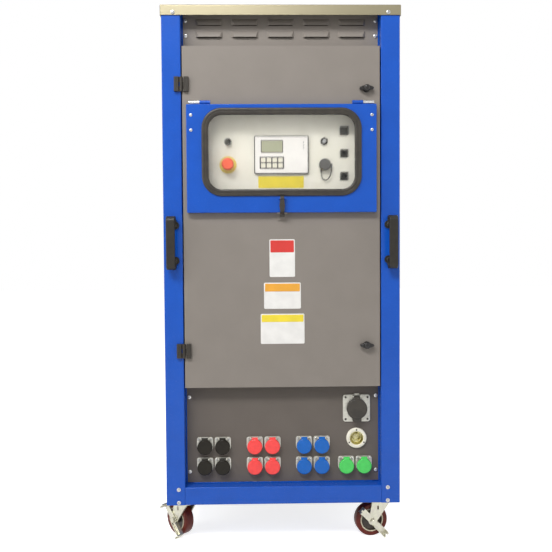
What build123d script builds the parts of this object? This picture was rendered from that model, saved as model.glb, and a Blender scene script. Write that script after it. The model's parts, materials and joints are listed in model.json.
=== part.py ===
"""Portable generator load bank: a tall sheet-metal cabinet on castors, with a control door, a windowed
flip cover, a recessed connector panel and a fan-cooled resistor bank.

Millimetres. X runs to the right, Y to the back and Z up. The origin is on the floor, under the middle of the
cabinet. Each sub-part is written to parts/NODE.step.
"""

from build123d import *
import os
from math import cos, radians, sin, tan

# ------------------------------------------------------------------ cabinet
CABINET_W = 711.0  # over the posts, 28 in
CABINET_D = 711.0  # over the posts, 28 in
FRAME_H = 1470.0  # from the underside of the frame to the lip of the top cap
FRAME_SHEET = 2.5
PANEL_SHEET = 2.0
BEND_R = 3.0  # outside radius of the folds
POST_W = 57.0  # width of each face of a corner post
LIP_W = 22.0  # turned-in lip that a panel screws to
FRONT_RECESS = 40.0  # recessed front panels, behind the face of the posts
SIDE_RECESS = 12.0  # side and rear panels
PANEL_GAP = 3.2  # between a panel's edge and the post beside it, clear of the fold
RAIL_H = 54.0  # base rail
RAIL_FLANGE = 50.0  # lower flange of a base rail
TOP_RAIL = 30.0  # both legs of the top angle
SILL_H = 40.0  # angle above and below the door
SILL_LEG = 20.0
CROSS_W = 80.0  # cross-member that carries the castors
CROSS_H = 40.0
CROSS_SHEET = 4.0

# ------------------------------------------------------------------ top cap and exhaust guard
CAP_LIP = 31.0
CAP_SHEET = 1.5
CAP_CLEARANCE = 1.5  # between the lip and the posts
EXHAUST_W = 560.0
EXHAUST_D = 390.0
EXHAUST_Y = 100.0  # middle of the opening, behind the middle of the cabinet
GUARD_BORDER = 15.0
GUARD_BAR = 4.0
GUARD_ACROSS = 18  # gaps between the bars across the width
GUARD_DEEP = 5

# ------------------------------------------------------------------ pressed louvres
LOUVRE_L = 82.0
LOUVRE_H = 19.5
LOUVRE_DEPTH = 8.0
LOUVRE_PITCH_X = 108.0
LOUVRE_PITCH_Z = 35.5
FRONT_LOUVRE_ROWS = 2
FRONT_LOUVRES = 5
TOP_ROW_BELOW_CAP = 17.5  # lip of the cap to the open edge of the front's upper row
INTAKE_ROWS = 6
INTAKE_LOW = 90.0  # lowest row of intake louvres above the base rail

# ------------------------------------------------------------------ main door
DOOR_GAP = 3.0
DOOR_BELOW_CAP = 90.0  # lip of the top cap down to the top of the door
DOOR_ABOVE_RAIL = 304.5  # top of the base rail up to the bottom of the door
DOOR_DEPTH = 34.0
DOOR_RIB_W = 40.0
DOOR_RIB_D = 12.0
OPENING_W = 500.0  # control opening, behind the flip cover
OPENING_H = 264.0
OPENING_DOWN = 317.0  # middle of the control opening below the top of the door
PLATE_RECESS = 30.0  # face of the control plate, behind the face of the door
PLATE_MARGIN = 12.0

# ------------------------------------------------------------------ door hinges and latch knobs
HINGE_UP = 112.5  # lower hinge above the bottom of the door
HINGE_DOWN = 113.5  # upper hinge below the top of the door
HINGE_H = 43.0
HINGE_HALF_W = 21.5
HINGE_T = 9.5
HINGE_AXIS_OUT = 5.0  # pin's axis, in front of the face of the door
HINGE_PIN_R = 2.5
KNUCKLE_R = 4.5
KNUCKLE_CLEAR = 7.5  # solid halves start this far from the axis
HINGE_GROOVES = (11.5, 15.5)  # from the axis
HINGE_GROOVE_W = 1.4
HINGE_GROOVE_D = 1.0
RUNNING_FIT = 0.05
LATCH_INSET = 41.5  # from the edge of the door
LATCH_UP = 126.0
LATCH_DOWN = 127.0
WING_L = 42.0
WING_TIP_R = 3.5
WING_HUB_R = 9.5
WING_OUT = 17.0
WING_EDGE = 2.5
LATCH_BASE_R = 11.0
LATCH_SHAFT_R = 5.0
TONGUE_L = 36.0
TONGUE_W = 18.0
TONGUE_T = 3.0
TONGUE_GAP = 1.5  # behind the lip that it locks on

# ------------------------------------------------------------------ flip cover with its window
COVER_W = 564.0
COVER_H = 320.0
COVER_DROP = 178.5  # bottom edge below the middle of the control opening
COVER_DEPTH = 19.0
COVER_SHEET = 2.0
COVER_GAP = 1.0  # in front of the door
WINDOW_W = 434.0
WINDOW_H = 220.0
WINDOW_R = 40.0
GASKET_W = 20.0
GASKET_FRONT = 6.0  # stands in front of the cover
GASKET_BACK = 6.0
PANE_T = 4.0
PANE_GRIP = 8.0  # pane inside the gasket
COVER_HINGE_X = 242.5  # middle of each lift-off hinge
COVER_HINGE_HALF = 32.0
COVER_HINGE_R = 5.5
COVER_PIN_R = 3.0
COVER_AXIS_OUT = 14.0
COVER_AXIS_UP = 6.0

# ------------------------------------------------------------------ rubber draw latch
STRAP_PIN_UP = 41.5  # above the bottom edge of the cover
STRAP_W = 17.0
STRAP_NECK_W = 12.0
STRAP_T = 5.0
STRAP_PIN_R = 2.5
STRAP_EAR_T = 3.0
STRAP_OUT = 29.0  # pin's axis, in front of the door
BULB_R = 4.5
BULB_DOWN = 8.5  # below the bottom edge of the cover
BULB_OUT = 16.0
STRAP_TAB = 7.0  # finger tab above the pin
KEEPER_W = 28.0
KEEPER_T = 3.0
KEEPER_OUT = 21.0

# ------------------------------------------------------------------ grab handles
HANDLE_INSET = 26.0  # from the side of the cabinet
HANDLE_UP = 795.5  # above the underside of the frame
HANDLE_L = 159.0
HANDLE_OUT = 42.0
HANDLE_W = 26.0
HANDLE_T = 8.0
HANDLE_FOOT = 32.0
HANDLE_R = 12.0  # bend along the middle of the bar
HANDLE_EDGE = 2.5
HANDLE_LUG_R = 12.0  # round lug beside each foot, for its screw
HANDLE_LUG_T = 6.0
HANDLE_LUG_IN = 9.5  # lug's middle from the middle of the bar
HANDLE_LUG_UP = 27.0  # and from the end of the handle

# ------------------------------------------------------------------ control plate
# Each *_UP on the plate is measured from the middle of the control opening.
CONTROLLER_UP = -2.0
CONTROLLER_W = 165.0
CONTROLLER_H = 115.0
CONTROLLER_FRONT = 9.0
BEZEL_W = 2.5
BEZEL_RISE = 0.8  # bezel in front of the controller's face
CONTROLLER_BODY_W = 146.0
CONTROLLER_BODY_H = 96.0
CONTROLLER_BODY_D = 52.0
SCREEN_X = -28.5
SCREEN_UP = 25.0  # above the middle of the controller
SCREEN_W = 66.0
SCREEN_H = 37.0
KEYPAD_X = -29.0
KEYPAD_DOWN = 24.0  # below the middle of the controller
KEYPAD_W = 74.0
KEYPAD_H = 37.0
KEY_W = 13.5
KEY_PITCH_X = 17.4
KEY_PITCH_Z = 16.6
KEY_COLUMNS = 4
KEY_ROWS = 2
KEY_OUT = 2.0
SELECTOR_X = -161.5
SELECTOR_UP = 38.0
SELECTOR_BEZEL_R = 11.5
SELECTOR_KNOB_R = 9.0
SELECTOR_BORE_R = 5.0
SELECTOR_STEM_R = 4.7
STOP_X = -162.0
STOP_UP = -31.0
STOP_R = 18.0
STOP_DOME_R = 6.0
STOP_COLLAR_R = 26.5
STOP_OUT = 31.0
STOP_GUARD_OUT = 10.0
STOP_GUARD_R = 15.0
STOP_TRAVEL = 3.5
STOP_HEAD_GAP = 0.5  # left between the head and the guard when the head is pushed in
STOP_STEM_R = 7.7
STOP_BORE_R = 8.0
SOCKET_X = 191.0
SOCKET_UP = (-66.0, 2.5)
BLANK_UP = 71.0  # square blanking cover above the sockets
BLANK_SIDE = 27.0
BLANK_OUT = 4.0
BLANK_RIM = 1.5
SOCKET_SIDE = 25.0
SOCKET_BORE_R = 8.0
REMOTE_X = 130.0
REMOTE_UP = 39.0
REMOTE_R = 12.0
PORT_X = 131.5
PORT_UP = -32.0
PORT_CAP_R = 17.5
PORT_CAP_OUT = 18.0
PORT_BASE_R = 13.0
PORT_BASE_OUT = 10.0
PORT_FLANGE_T = 2.0
PORT_CAP_GAP = 0.5  # between the cap and the port's flange
TETHER_R = 1.4
TETHER_ROUTE = [  # x from the port, distance behind the face of the control plate, z from the port
    (20.0, -9.0, -4.0),
    (20.0, -9.0, -20.0),
    (15.5, -7.5, -36.5),
    (6.0, -6.0, -47.5),
    (-5.0, -4.5, -45.5),
    (-10.5, -3.5, -35.0),
    (-10.5, -3.5, -23.5),
]
LUG_WALL = 1.0  # round the tether, in the lugs at its ends
PORT_LUG_H = 5.0

# ------------------------------------------------------------------ connector panel
OUTER_PAIRS = {"black": 85.3, "green": 75.7}  # middle of an outer pair from the post beside it
INNER_PAIRS = {"red": -59.8, "blue": 92.4}  # middle of an inner pair from the middle of the cabinet
CAM_PITCH = 54.6
CAM_ROWS_UP = (51.5, 115.0)  # above the base rail
CAM_FLANGE_W = 50.5
CAM_FLANGE_UP = 28.5  # top of the flange above the middle of the lid
CAM_FLANGE_T = 3.5
CAM_BOSS_R = 5.0  # raised seat of each flange screw
CAM_BOSS_T = 0.8
CAM_BOSS_X = 19.5
CAM_BOSS_UP = 22.8
CAM_BARREL_R = 20.0
CAM_BARREL_OUT = 14.0
CAM_BARREL_BACK = 38.0
CAM_BORE_R = 15.5
CAM_BORE_DEPTH = 32.0
FLANGE_PLAY = 0.05  # round a barrel, in its flange
PLUG_SUNK = 1.0  # rear plug inside the end of its barrel
CAM_PIN_R = 8.0
CAM_PIN_OUT = 4.0  # end of the contact, in front of the panel
LID_T = 7.5
LID_WALL = 2.5
LID_SKIRT = 3.5  # how far the lid's skirt reaches over the barrel
LID_CLEARANCE = 0.7  # round the barrel, so that the skirt swings clear of it
LID_SEAT = 0.5  # between the barrel's end and the lid
LID_SIDE_PLAY = 0.5  # between the lid's knuckle and each ear
LID_TAB_W = 19.0
LID_AXIS_RISE = 5.0  # above the barrel
LID_AXIS_OUT = 12.0
LID_PIN_R = 1.5
LID_KNUCKLE_R = 3.5
LID_TAB_T = 2.0
LID_FLARE = 4.5  # how much wider the tab is where it meets the lid, on each side
LID_RIM_R = 3.5
EAR_T = 3.0

# ------------------------------------------------------------------ auxiliary outlet and power inlet
OUTLET_INSET = 70.5  # from the right-hand post
OUTLET_UP = 229.5  # above the base rail
OUTLET_SIDE = 84.0
OUTLET_T = 4.0
OUTLET_BARREL_R = 27.5
OUTLET_BARREL_OUT = 12.0
OUTLET_BORE_R = 23.5
OUTLET_DEPTH = 40.0
OUTLET_PLUG_T = 5.0
OUTLET_LID_T = 12.0
OUTLET_LID_WALL = 3.3
OUTLET_SKIRT = 3.0
OUTLET_AXIS_RISE = 9.0
OUTLET_AXIS_OUT = 11.0
OUTLET_RIM_R = 3.5
OUTLET_LUG_W = 27.0  # finger lug at the bottom of the lid
OUTLET_LUG_DOWN = 40.0
OUTLET_LUG_R = 4.0
BRACKET_W = 16.0  # spring bracket over the top edge of the plate
BRACKET_UP = (38.0, 46.0)
BRACKET_T = 1.2
INLET_INSET = 71.0
INLET_UP = 136.5
INLET_R = 31.3
INLET_T = 7.0
INLET_BORE_R = 20.0
INLET_DEPTH = 24.0
INLET_BLADE_R = 12.5
INLET_BLADE_T = 2.0
INLET_BLADE_OUT = 4.0
INLET_BLADE_ARC = 50.0  # degrees
INLET_EDGE = 2.5
INLET_WALL = 3.0
INLET_FLOOR_T = 3.0

# ------------------------------------------------------------------ castors
SWIVEL_INSET = 48.5  # swivel's axis from the side of the cabinet
SWIVEL_Y = 85.0  # behind the front face, and in front of the rear face
WHEEL_R = 50.8
WHEEL_W = 32.0
WHEEL_HEADROOM = 8.9  # between the wheel and the crown
TREAD_T = 14.0
TREAD_EDGE = 5.0
CORE_SUNK = 1.0  # core's rim below the side of the tread
RIM_LIP = 4.0  # bright rim of the core beside the tread
RIM_ROOT = 6.5
WEB_T = 12.0
HUB_TAPER = 1.5
AXLE_R = 5.0
HUB_R = 13.0
SWIVEL_LEAD = 30.0
TOP_PLATE_L = 95.0
TOP_PLATE_W = 67.0
TOP_PLATE_T = 4.0
RACEWAY_R = 35.0
RACEWAY_T = 7.0
KINGPIN_R = 8.0
CROWN_R = 37.0
CROWN_T = 8.0
LEG_T = 4.0
LEG_GAP = 3.0  # between the wheel and a leg
LEG_FLANGE_W = 4.0  # stiffening flange along the edges of a leg, turned towards the wheel
LEG_FLANGE_T = 1.8
LEG_SLOT_L = 13.0
LEG_SLOT_W = 5.0
AXLE_HEAD_R = 8.0
AXLE_HEAD_T = 4.0
AXLE_NUT_R = 8.5
AXLE_NUT_T = 5.0
HUB_GAP = 0.5
SWIVEL_GAP = 0.5
LEVER_L = 113.0
LEVER_W = 20.0
LEVER_T = 4.0
LEVER_END_R = 3.0
LEVER_RIB_T = 2.5  # flanges that make a channel of the lower arm
LEVER_RIB_H = 7.0
LEVER_PAD = 23.0
LEVER_NOTCH_W = 6.0  # slot that forks the edge of each pad
LEVER_NOTCH_D = 9.0
LEVER_TILT = 46.0  # degrees above level
FRONT_LEFT_TRAIL = 135.0  # direction of the trail, degrees from +X
FRONT_RIGHT_TRAIL = 189.0

# ------------------------------------------------------------------ inside
BULKHEAD_Y = 230.0  # behind the front face
DECK_UP = 390.0  # fan deck above the underside of the frame
FAN_R = 200.0
FAN_CLEARANCE = 6.0
FAN_BLADES = 6
FAN_HUB_R = 60.0
FAN_HUB_H = 46.0
FAN_RING_H = 40.0
MOTOR_R = 72.0
MOTOR_H = 130.0
MOTOR_SHAFT_R = 9.0
STRUT_W = 30.0
STRUT_T = 4.0
RACK_INSET = 55.5  # from the side of the cabinet
RACK_LAP = 8.5  # rear flange of the rack, in front of the rear post's face
RACK_ABOVE_DECK = 120.0
RACK_BELOW_TOP = 229.5
ELEMENT_R = 8.0
ELEMENT_LEVELS = 5
ELEMENT_COLUMNS = 6
CONTACTOR_W = 55.0
CONTACTOR_H = 84.0
CONTACTOR_D = 88.0
CONTACTORS = 5
DIN_UP = (231.5, 411.5)  # above the bottom of the door
DIN_H = 35.0
DIN_D = 7.5

# ------------------------------------------------------------------ screws
SCREW_R = 6.5
SCREW_H = 3.5
SCREW_TOP_R = 4.2
PANEL_SCREW_INSET = 10.5  # from the post
FOOT_SCREW_INSET = 37.5  # from the side of the cabinet
CAP_SCREW_INSET = 35.5

# ------------------------------------------------------------------ worked out from the sizes above
SIDE = CABINET_W / 2
FRONT = -CABINET_D / 2
BACK = CABINET_D / 2
CROWN_Z1 = 2 * WHEEL_R + WHEEL_HEADROOM + CROWN_T
CASTOR_H = CROWN_Z1 + SWIVEL_GAP + RACEWAY_T + TOP_PLATE_T
FRAME_Z0 = CASTOR_H
RAIL_TOP = FRAME_Z0 + RAIL_H
CAP_Z0 = FRAME_Z0 + FRAME_H
CAP_Z1 = CAP_Z0 + CAP_LIP
FRAME_Z1 = CAP_Z1 - CAP_SHEET
POST_INNER = SIDE - POST_W
FRONT_LIP = FRONT_RECESS + PANEL_SHEET
SIDE_LIP = SIDE_RECESS + PANEL_SHEET
PANEL_FACE_Y = FRONT + FRONT_RECESS

DOOR_W = 2 * (POST_INNER - DOOR_GAP)
DOOR_BOTTOM = RAIL_TOP + DOOR_ABOVE_RAIL
DOOR_TOP = CAP_Z0 - DOOR_BELOW_CAP
OPENING_Z = DOOR_TOP - OPENING_DOWN
HINGE_X = -(POST_INNER - DOOR_GAP / 2)
HINGE_Y = FRONT - HINGE_AXIS_OUT
HINGE_Z = (DOOR_BOTTOM + HINGE_UP, DOOR_TOP - HINGE_DOWN)
LATCH_X = DOOR_W / 2 - LATCH_INSET
LATCH_Z = {"upper": DOOR_TOP - LATCH_DOWN, "lower": DOOR_BOTTOM + LATCH_UP}

COVER_FACE_Y = FRONT - COVER_GAP - COVER_DEPTH
COVER_BOTTOM = OPENING_Z - COVER_DROP
COVER_TOP = COVER_BOTTOM + COVER_H
COVER_AXIS_Y = FRONT - COVER_AXIS_OUT
COVER_AXIS_Z = COVER_TOP + COVER_AXIS_UP
STRAP_AXIS_Y = FRONT - STRAP_OUT
STRAP_TOP = COVER_BOTTOM + STRAP_PIN_UP
BULB_Z = COVER_BOTTOM - BULB_DOWN
HANDLE_X = SIDE - HANDLE_INSET
HANDLE_Z = FRAME_Z0 + HANDLE_UP

PLATE_Y = FRONT + PLATE_RECESS
CONTROLLER_Z = OPENING_Z + CONTROLLER_UP
CONTROLLER_FACE_Y = PLATE_Y - CONTROLLER_FRONT + BEZEL_RISE
SCREEN_Z = CONTROLLER_Z + SCREEN_UP
KEYPAD_Z = CONTROLLER_Z - KEYPAD_DOWN
SELECTOR_Z = OPENING_Z + SELECTOR_UP
STOP_Z = OPENING_Z + STOP_UP
REMOTE_Z = OPENING_Z + REMOTE_UP
PORT_Z = OPENING_Z + PORT_UP

CAM_PAIRS = {
    "black": OUTER_PAIRS["black"] - POST_INNER,
    **INNER_PAIRS,
    "green": POST_INNER - OUTER_PAIRS["green"],
}
LID_AXIS_UP = CAM_BARREL_R + LID_AXIS_RISE
OUTLET_AXIS_UP = OUTLET_BARREL_R + OUTLET_AXIS_RISE
OUTLET_X = POST_INNER - OUTLET_INSET
OUTLET_Z = RAIL_TOP + OUTLET_UP
INLET_X = POST_INNER - INLET_INSET
INLET_Z = RAIL_TOP + INLET_UP

SWIVEL_X = SIDE - SWIVEL_INSET
LEG_Y = WHEEL_W / 2 + LEG_GAP
BULKHEAD_FACE_Y = FRONT + BULKHEAD_Y
DECK_Z = FRAME_Z0 + DECK_UP
FAN_Y = (BULKHEAD_FACE_Y + PANEL_SHEET + BACK - SIDE_LIP) / 2
RACK_X = SIDE - RACK_INSET
RACK_Y0 = BULKHEAD_FACE_Y + PANEL_SHEET
RACK_Y1 = BACK - POST_W - RACK_LAP
RACK_Z0 = DECK_Z + RACK_ABOVE_DECK
RACK_Z1 = FRAME_Z1 - RACK_BELOW_TOP


# ------------------------------------------------------------------ helpers
def block(x0, x1, y0, y1, z0, z1):
    """Box between two opposite corners."""
    return Pos((x0 + x1) / 2, (y0 + y1) / 2, (z0 + z1) / 2) * Box(x1 - x0, y1 - y0, z1 - z0)


def folded_sheet(face_line, thickness, length, plane=Plane.XY, bend=BEND_R):
    """Sheet folded along the line of its outer face, with the metal on the right of that line."""
    path = FilletPolyline(*face_line, radius=bend)
    section = make_face(offset(path, amount=thickness, side=Side.RIGHT, closed=True))
    return extrude(plane * section, length)


def across(x, y, z, radius, start, end):
    """Cylinder along Y, from start to end, both measured from y."""
    return Pos(x, y + (start + end) / 2, z) * Rot(90, 0, 0) * Cylinder(radius, end - start)


def along_x(x0, x1, y, z, radius):
    """Cylinder along X between two places."""
    return Pos((x0 + x1) / 2, y, z) * Rot(0, 90, 0) * Cylinder(radius, x1 - x0)


def facing(width, height, radius, x, z, y0, y1):
    """Round-cornered slab that faces the front, between y0 and y1."""
    outline = Plane.XZ * RectangleRounded(width, height, radius)
    return Pos(x, y1, z) * extrude(outline, y1 - y0)


def mirrored(part):
    """The same piece on the other side of the cabinet."""
    return mirror(part, Plane.YZ)


def group(*solids):
    """Separate solids that share one node."""
    return Compound(children=[s.solid() for s in solids])


# ------------------------------------------------------------------ frame
def corner_post(front_lip):
    """Folded post at the front left: two outer faces, two returns and two lips that panels screw to."""
    face_line = [
        (-POST_INNER + LIP_W, FRONT + front_lip),
        (-POST_INNER, FRONT + front_lip),
        (-POST_INNER, FRONT),
        (-SIDE, FRONT),
        (-SIDE, FRONT + POST_W),
        (-SIDE + SIDE_LIP, FRONT + POST_W),
        (-SIDE + SIDE_LIP, FRONT + POST_W + LIP_W),
    ]
    return Pos(0, 0, FRAME_Z0) * folded_sheet(face_line, FRAME_SHEET, FRAME_Z1 - FRAME_Z0)


def corner_posts():
    """Four posts. The rear pair has the shallow recess on both faces."""
    front = corner_post(FRONT_LIP)
    rear = mirror(corner_post(SIDE_LIP), Plane.XZ)
    return group(front, mirrored(front), rear, mirrored(rear))


def base_rail(length, lip_depth):
    """Channel whose web faces -Y at y = 0, with a ledge and a lip for the panel above it."""
    face_line = [
        (RAIL_FLANGE, 0),
        (0, 0),
        (0, RAIL_H),
        (lip_depth, RAIL_H),
        (lip_depth, RAIL_H + LIP_W),
    ]
    rail = Pos(-length / 2, 0, 0) * folded_sheet(face_line, FRAME_SHEET, length, Plane.YZ)
    notch = block(0, LIP_W, lip_depth - BEND_R, lip_depth + FRAME_SHEET, -1, RAIL_H + LIP_W + 1)
    return rail - Pos(length / 2 - LIP_W, 0, 0) * notch - Pos(-length / 2, 0, 0) * notch


def angle_rail(length, leg_up, leg_back):
    """Angle with its upright face at y = 0 and its top leg running back."""
    face_line = [(0, 0), (0, leg_up), (leg_back, leg_up)]
    return Pos(-length / 2, 0, 0) * folded_sheet(face_line, FRAME_SHEET, length, Plane.YZ)


def cross_member():
    """Open channel between the side rails, flush with the underside of the frame."""
    half = CROSS_W / 2
    face_line = [(half, CROSS_H), (half, 0), (-half, 0), (-half, CROSS_H)]
    length = CABINET_W - 2 * RAIL_FLANGE
    channel = Pos(-length / 2, 0, 0) * folded_sheet(face_line, CROSS_SHEET, length, Plane.YZ, CROSS_SHEET + 1)
    return Pos(0, FRONT + RAIL_FLANGE + half, FRAME_Z0) * channel


def frame_rails():
    """Base rails, castor cross-members, top angles, and the angles above and below the door."""
    wide = CABINET_W - 2 * POST_W
    deep = CABINET_D - 2 * POST_W
    left = Pos(-SIDE, 0, 0) * Rot(0, 0, -90)
    rear = Pos(0, BACK, 0) * Rot(0, 0, 180)
    up = Pos(0, 0, FRAME_Z0)
    top = Pos(0, 0, FRAME_Z1 - TOP_RAIL)
    front_base = Pos(0, FRONT, 0) * up * base_rail(wide, FRONT_LIP)
    rear_base = rear * up * base_rail(wide, SIDE_LIP)
    side_base = left * up * base_rail(deep, SIDE_LIP)
    side_top = left * Pos(0, SIDE_LIP, 0) * top * angle_rail(deep - 2 * LIP_W, TOP_RAIL, TOP_RAIL)
    front_top = Pos(0, FRONT + FRONT_LIP, 0) * top * angle_rail(wide - 2 * LIP_W, TOP_RAIL, TOP_RAIL)
    rear_top = rear * Pos(0, SIDE_LIP, 0) * top * angle_rail(wide - 2 * LIP_W, TOP_RAIL, TOP_RAIL)
    beside_door = angle_rail(wide - 2 * LIP_W, SILL_H, SILL_LEG)
    lintel = Pos(0, FRONT + FRONT_LIP, DOOR_TOP - SILL_H / 3) * beside_door
    sill = Pos(0, FRONT + FRONT_LIP, DOOR_BOTTOM - 2 * SILL_H / 3) * beside_door
    cross = cross_member()
    return group(
        front_base,
        rear_base,
        side_base,
        mirrored(side_base),
        side_top,
        mirrored(side_top),
        front_top,
        rear_top,
        lintel,
        sill,
        cross,
        mirror(cross, Plane.XZ),
    )


def top_cap():
    """Folded tray turned down over the posts, with the exhaust opening towards the rear."""
    half_w = SIDE + CAP_CLEARANCE + CAP_SHEET
    half_d = BACK + CAP_CLEARANCE + CAP_SHEET
    outer = block(-half_w, half_w, -half_d, half_d, CAP_Z0, CAP_Z1)
    outer = fillet(outer.edges().filter_by(Axis.Z), BEND_R)
    outer = fillet(outer.faces().sort_by(Axis.Z)[-1].edges(), BEND_R)
    inner_w = half_w - CAP_SHEET
    inner_d = half_d - CAP_SHEET
    inner = block(-inner_w, inner_w, -inner_d, inner_d, CAP_Z0 - 1, CAP_Z1 - CAP_SHEET)
    opening = Pos(0, EXHAUST_Y, CAP_Z1) * Box(EXHAUST_W, EXHAUST_D, 4 * CAP_SHEET)
    return outer - inner - opening


def exhaust_guard():
    """Welded bar grid under the exhaust opening."""
    width = EXHAUST_W + 2 * GUARD_BORDER
    depth = EXHAUST_D + 2 * GUARD_BORDER
    hole_w = (EXHAUST_W - (GUARD_ACROSS - 1) * GUARD_BAR) / GUARD_ACROSS
    hole_d = (EXHAUST_D - (GUARD_DEEP - 1) * GUARD_BAR) / GUARD_DEEP
    sheet = Rectangle(width, depth)
    sheet -= GridLocations(hole_w + GUARD_BAR, hole_d + GUARD_BAR, GUARD_ACROSS, GUARD_DEEP) * Rectangle(
        hole_w, hole_d
    )
    return Pos(0, EXHAUST_Y, FRAME_Z1 - GUARD_BAR) * extrude(sheet, GUARD_BAR)


# ------------------------------------------------------------------ panels
def hood(length, height, depth):
    """Pressed hood on a face at y = 0: a curved back that meets the face, and mitred round ends."""
    lip = Line((0, 0), (-depth, 0))
    back = ThreePointArc(lip @ 1, (-0.72 * depth, 0.5 * height), (0, height))
    side_view = make_face([lip, back, Line(back @ 1, lip @ 0)])
    run = Pos(-length / 2, 0, 0) * extrude(Plane.YZ * side_view, length)
    half = length / 2
    plan = Polyline(
        (-half, 1), (-half, 0), (depth - half, -depth), (half - depth, -depth), (half, 0), (half, 1), close=True
    )
    return run & Pos(0, 0, -1) * extrude(make_face(plan), height + 2)


def louvred(panel, thickness, places):
    """Panel whose front face is at y = 0, with a pressed louvre at each (x, z), open downward."""
    outer = hood(LOUVRE_L, LOUVRE_H, LOUVRE_DEPTH)
    inner_h = LOUVRE_H - thickness
    inner = hood(LOUVRE_L - 2 * thickness, inner_h, LOUVRE_DEPTH - thickness)
    mouth = block(
        thickness - LOUVRE_L / 2, LOUVRE_L / 2 - thickness, 0, 2 * thickness, 0, inner_h - thickness
    )
    below = Pos(0, 0, -thickness) * inner
    panel += [Pos(x, 0, z) * outer for x, z in places]
    panel -= [Pos(x, 0, z) * (inner + below + mouth) for x, z in places]
    return panel


def louvre_grid(columns, rows, lowest_z):
    """Places of a block of louvres, centred on x = 0."""
    first = -(columns - 1) / 2 * LOUVRE_PITCH_X
    return [
        (first + c * LOUVRE_PITCH_X, lowest_z + r * LOUVRE_PITCH_Z) for r in range(rows) for c in range(columns)
    ]


def louvre_panel():
    """Recessed front panel between the cap and the door."""
    half = POST_INNER - PANEL_GAP
    sheet = block(-half, half, 0, PANEL_SHEET, DOOR_TOP, FRAME_Z1 - PANEL_GAP)
    upper = CAP_Z0 - TOP_ROW_BELOW_CAP
    lowest = upper - (FRONT_LOUVRE_ROWS - 1) * LOUVRE_PITCH_Z
    panel = louvred(sheet, PANEL_SHEET, louvre_grid(FRONT_LOUVRES, FRONT_LOUVRE_ROWS, lowest))
    return Pos(0, PANEL_FACE_Y, 0) * panel


def outer_panel(width):
    """Tall plain panel with intake louvres low down, its face at y = 0."""
    low = RAIL_TOP + PANEL_GAP
    sheet = block(-width / 2, width / 2, 0, PANEL_SHEET, low, FRAME_Z1 - PANEL_GAP)
    columns = int((width - LIP_W) // LOUVRE_PITCH_X)
    return louvred(sheet, PANEL_SHEET, louvre_grid(columns, INTAKE_ROWS, low + INTAKE_LOW))


def outer_panels():
    """Left, right and rear panels between the posts."""
    side = outer_panel(CABINET_D - 2 * POST_W - 2 * PANEL_GAP)
    left = Pos(-SIDE + SIDE_RECESS, 0, 0) * Rot(0, 0, -90) * side
    rear = outer_panel(CABINET_W - 2 * POST_W - 2 * PANEL_GAP)
    return group(left, mirrored(left), Pos(0, BACK - SIDE_RECESS, 0) * Rot(0, 0, 180) * rear)


def cam_places():
    """Middle of every cam socket, by name."""
    places = {}
    for colour, middle in CAM_PAIRS.items():
        rows = CAM_ROWS_UP[:1] if colour == "green" else CAM_ROWS_UP
        for row, up in zip(("lower", "upper"), rows):
            for column, side in (("left", -1), ("right", 1)):
                places[f"{colour}_{row}_{column}"] = (middle + side * CAM_PITCH / 2, RAIL_TOP + up)
    return places


def connector_panel():
    """Recessed lower panel, pierced for its sockets."""
    half = POST_INNER - PANEL_GAP
    low = RAIL_TOP + PANEL_GAP
    panel = block(-half, half, PANEL_FACE_Y, PANEL_FACE_Y + PANEL_SHEET, low, DOOR_BOTTOM + SILL_H / 3)
    for x, z in cam_places().values():
        panel -= across(x, PANEL_FACE_Y, z, CAM_BARREL_R, -1, 2 * PANEL_SHEET)
    panel -= across(OUTLET_X, PANEL_FACE_Y, OUTLET_Z, OUTLET_BARREL_R, -1, 2 * PANEL_SHEET)
    panel -= across(INLET_X, PANEL_FACE_Y, INLET_Z, INLET_BORE_R + 3, -1, 2 * PANEL_SHEET)
    return panel


# ------------------------------------------------------------------ cam sockets and their lids
def hinge_ears(x, y, z, gap, reach, thickness, radius, height):
    """Pair of ears that stand out of a face at y and carry a pin at height above z."""
    arm = block(0, thickness, -reach, 0, -radius, radius)
    arm += Pos(thickness / 2, -reach, 0) * Rot(0, 90, 0) * Cylinder(radius, thickness)
    return [Pos(x + gap / 2, y, z + height) * arm, Pos(x - gap / 2 - thickness, y, z + height) * arm]


def lid_hinge(x, z, axis_out, axis_up):
    """Ears and pin that carry a flip lid, standing on the panel."""
    gap = LID_TAB_W + 2 * LID_SIDE_PLAY
    half = LID_TAB_W / 2 + EAR_T
    pin = along_x(x - half, x + half, PANEL_FACE_Y - axis_out, z + axis_up, LID_PIN_R)
    for ear in hinge_ears(x, PANEL_FACE_Y, z, gap, axis_out, EAR_T, LID_KNUCKLE_R, axis_up):
        pin += ear
    return pin


def cam_receptacle(x, z):
    """Cast flange with the ears and pin of its lid, insulating barrel, and contact in its rear plug."""
    face = PANEL_FACE_Y
    flange = facing(
        CAM_FLANGE_W, CAM_FLANGE_W, 5, x, z + CAM_FLANGE_UP - CAM_FLANGE_W / 2, face - CAM_FLANGE_T, face
    )
    for boss_x in (x - CAM_BOSS_X, x + CAM_BOSS_X):
        flange += across(boss_x, face, z + CAM_BOSS_UP, CAM_BOSS_R, -CAM_FLANGE_T - CAM_BOSS_T, 0)
    flange += lid_hinge(x, z, LID_AXIS_OUT, LID_AXIS_UP)
    flange -= across(x, face, z, CAM_BARREL_R + FLANGE_PLAY, -CAM_BARREL_OUT, 1)
    barrel = across(x, face, z, CAM_BARREL_R, -CAM_BARREL_OUT, CAM_BARREL_BACK)
    barrel -= across(x, face, z, CAM_BORE_R, -CAM_BARREL_OUT - 1, CAM_BARREL_BACK + 1)
    contact = across(x, face, z, CAM_BORE_R, CAM_BORE_DEPTH, CAM_BARREL_BACK - PLUG_SUNK)
    contact += across(x, face, z, CAM_PIN_R, -CAM_PIN_OUT, CAM_BORE_DEPTH)
    return [flange, barrel, contact]


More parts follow.
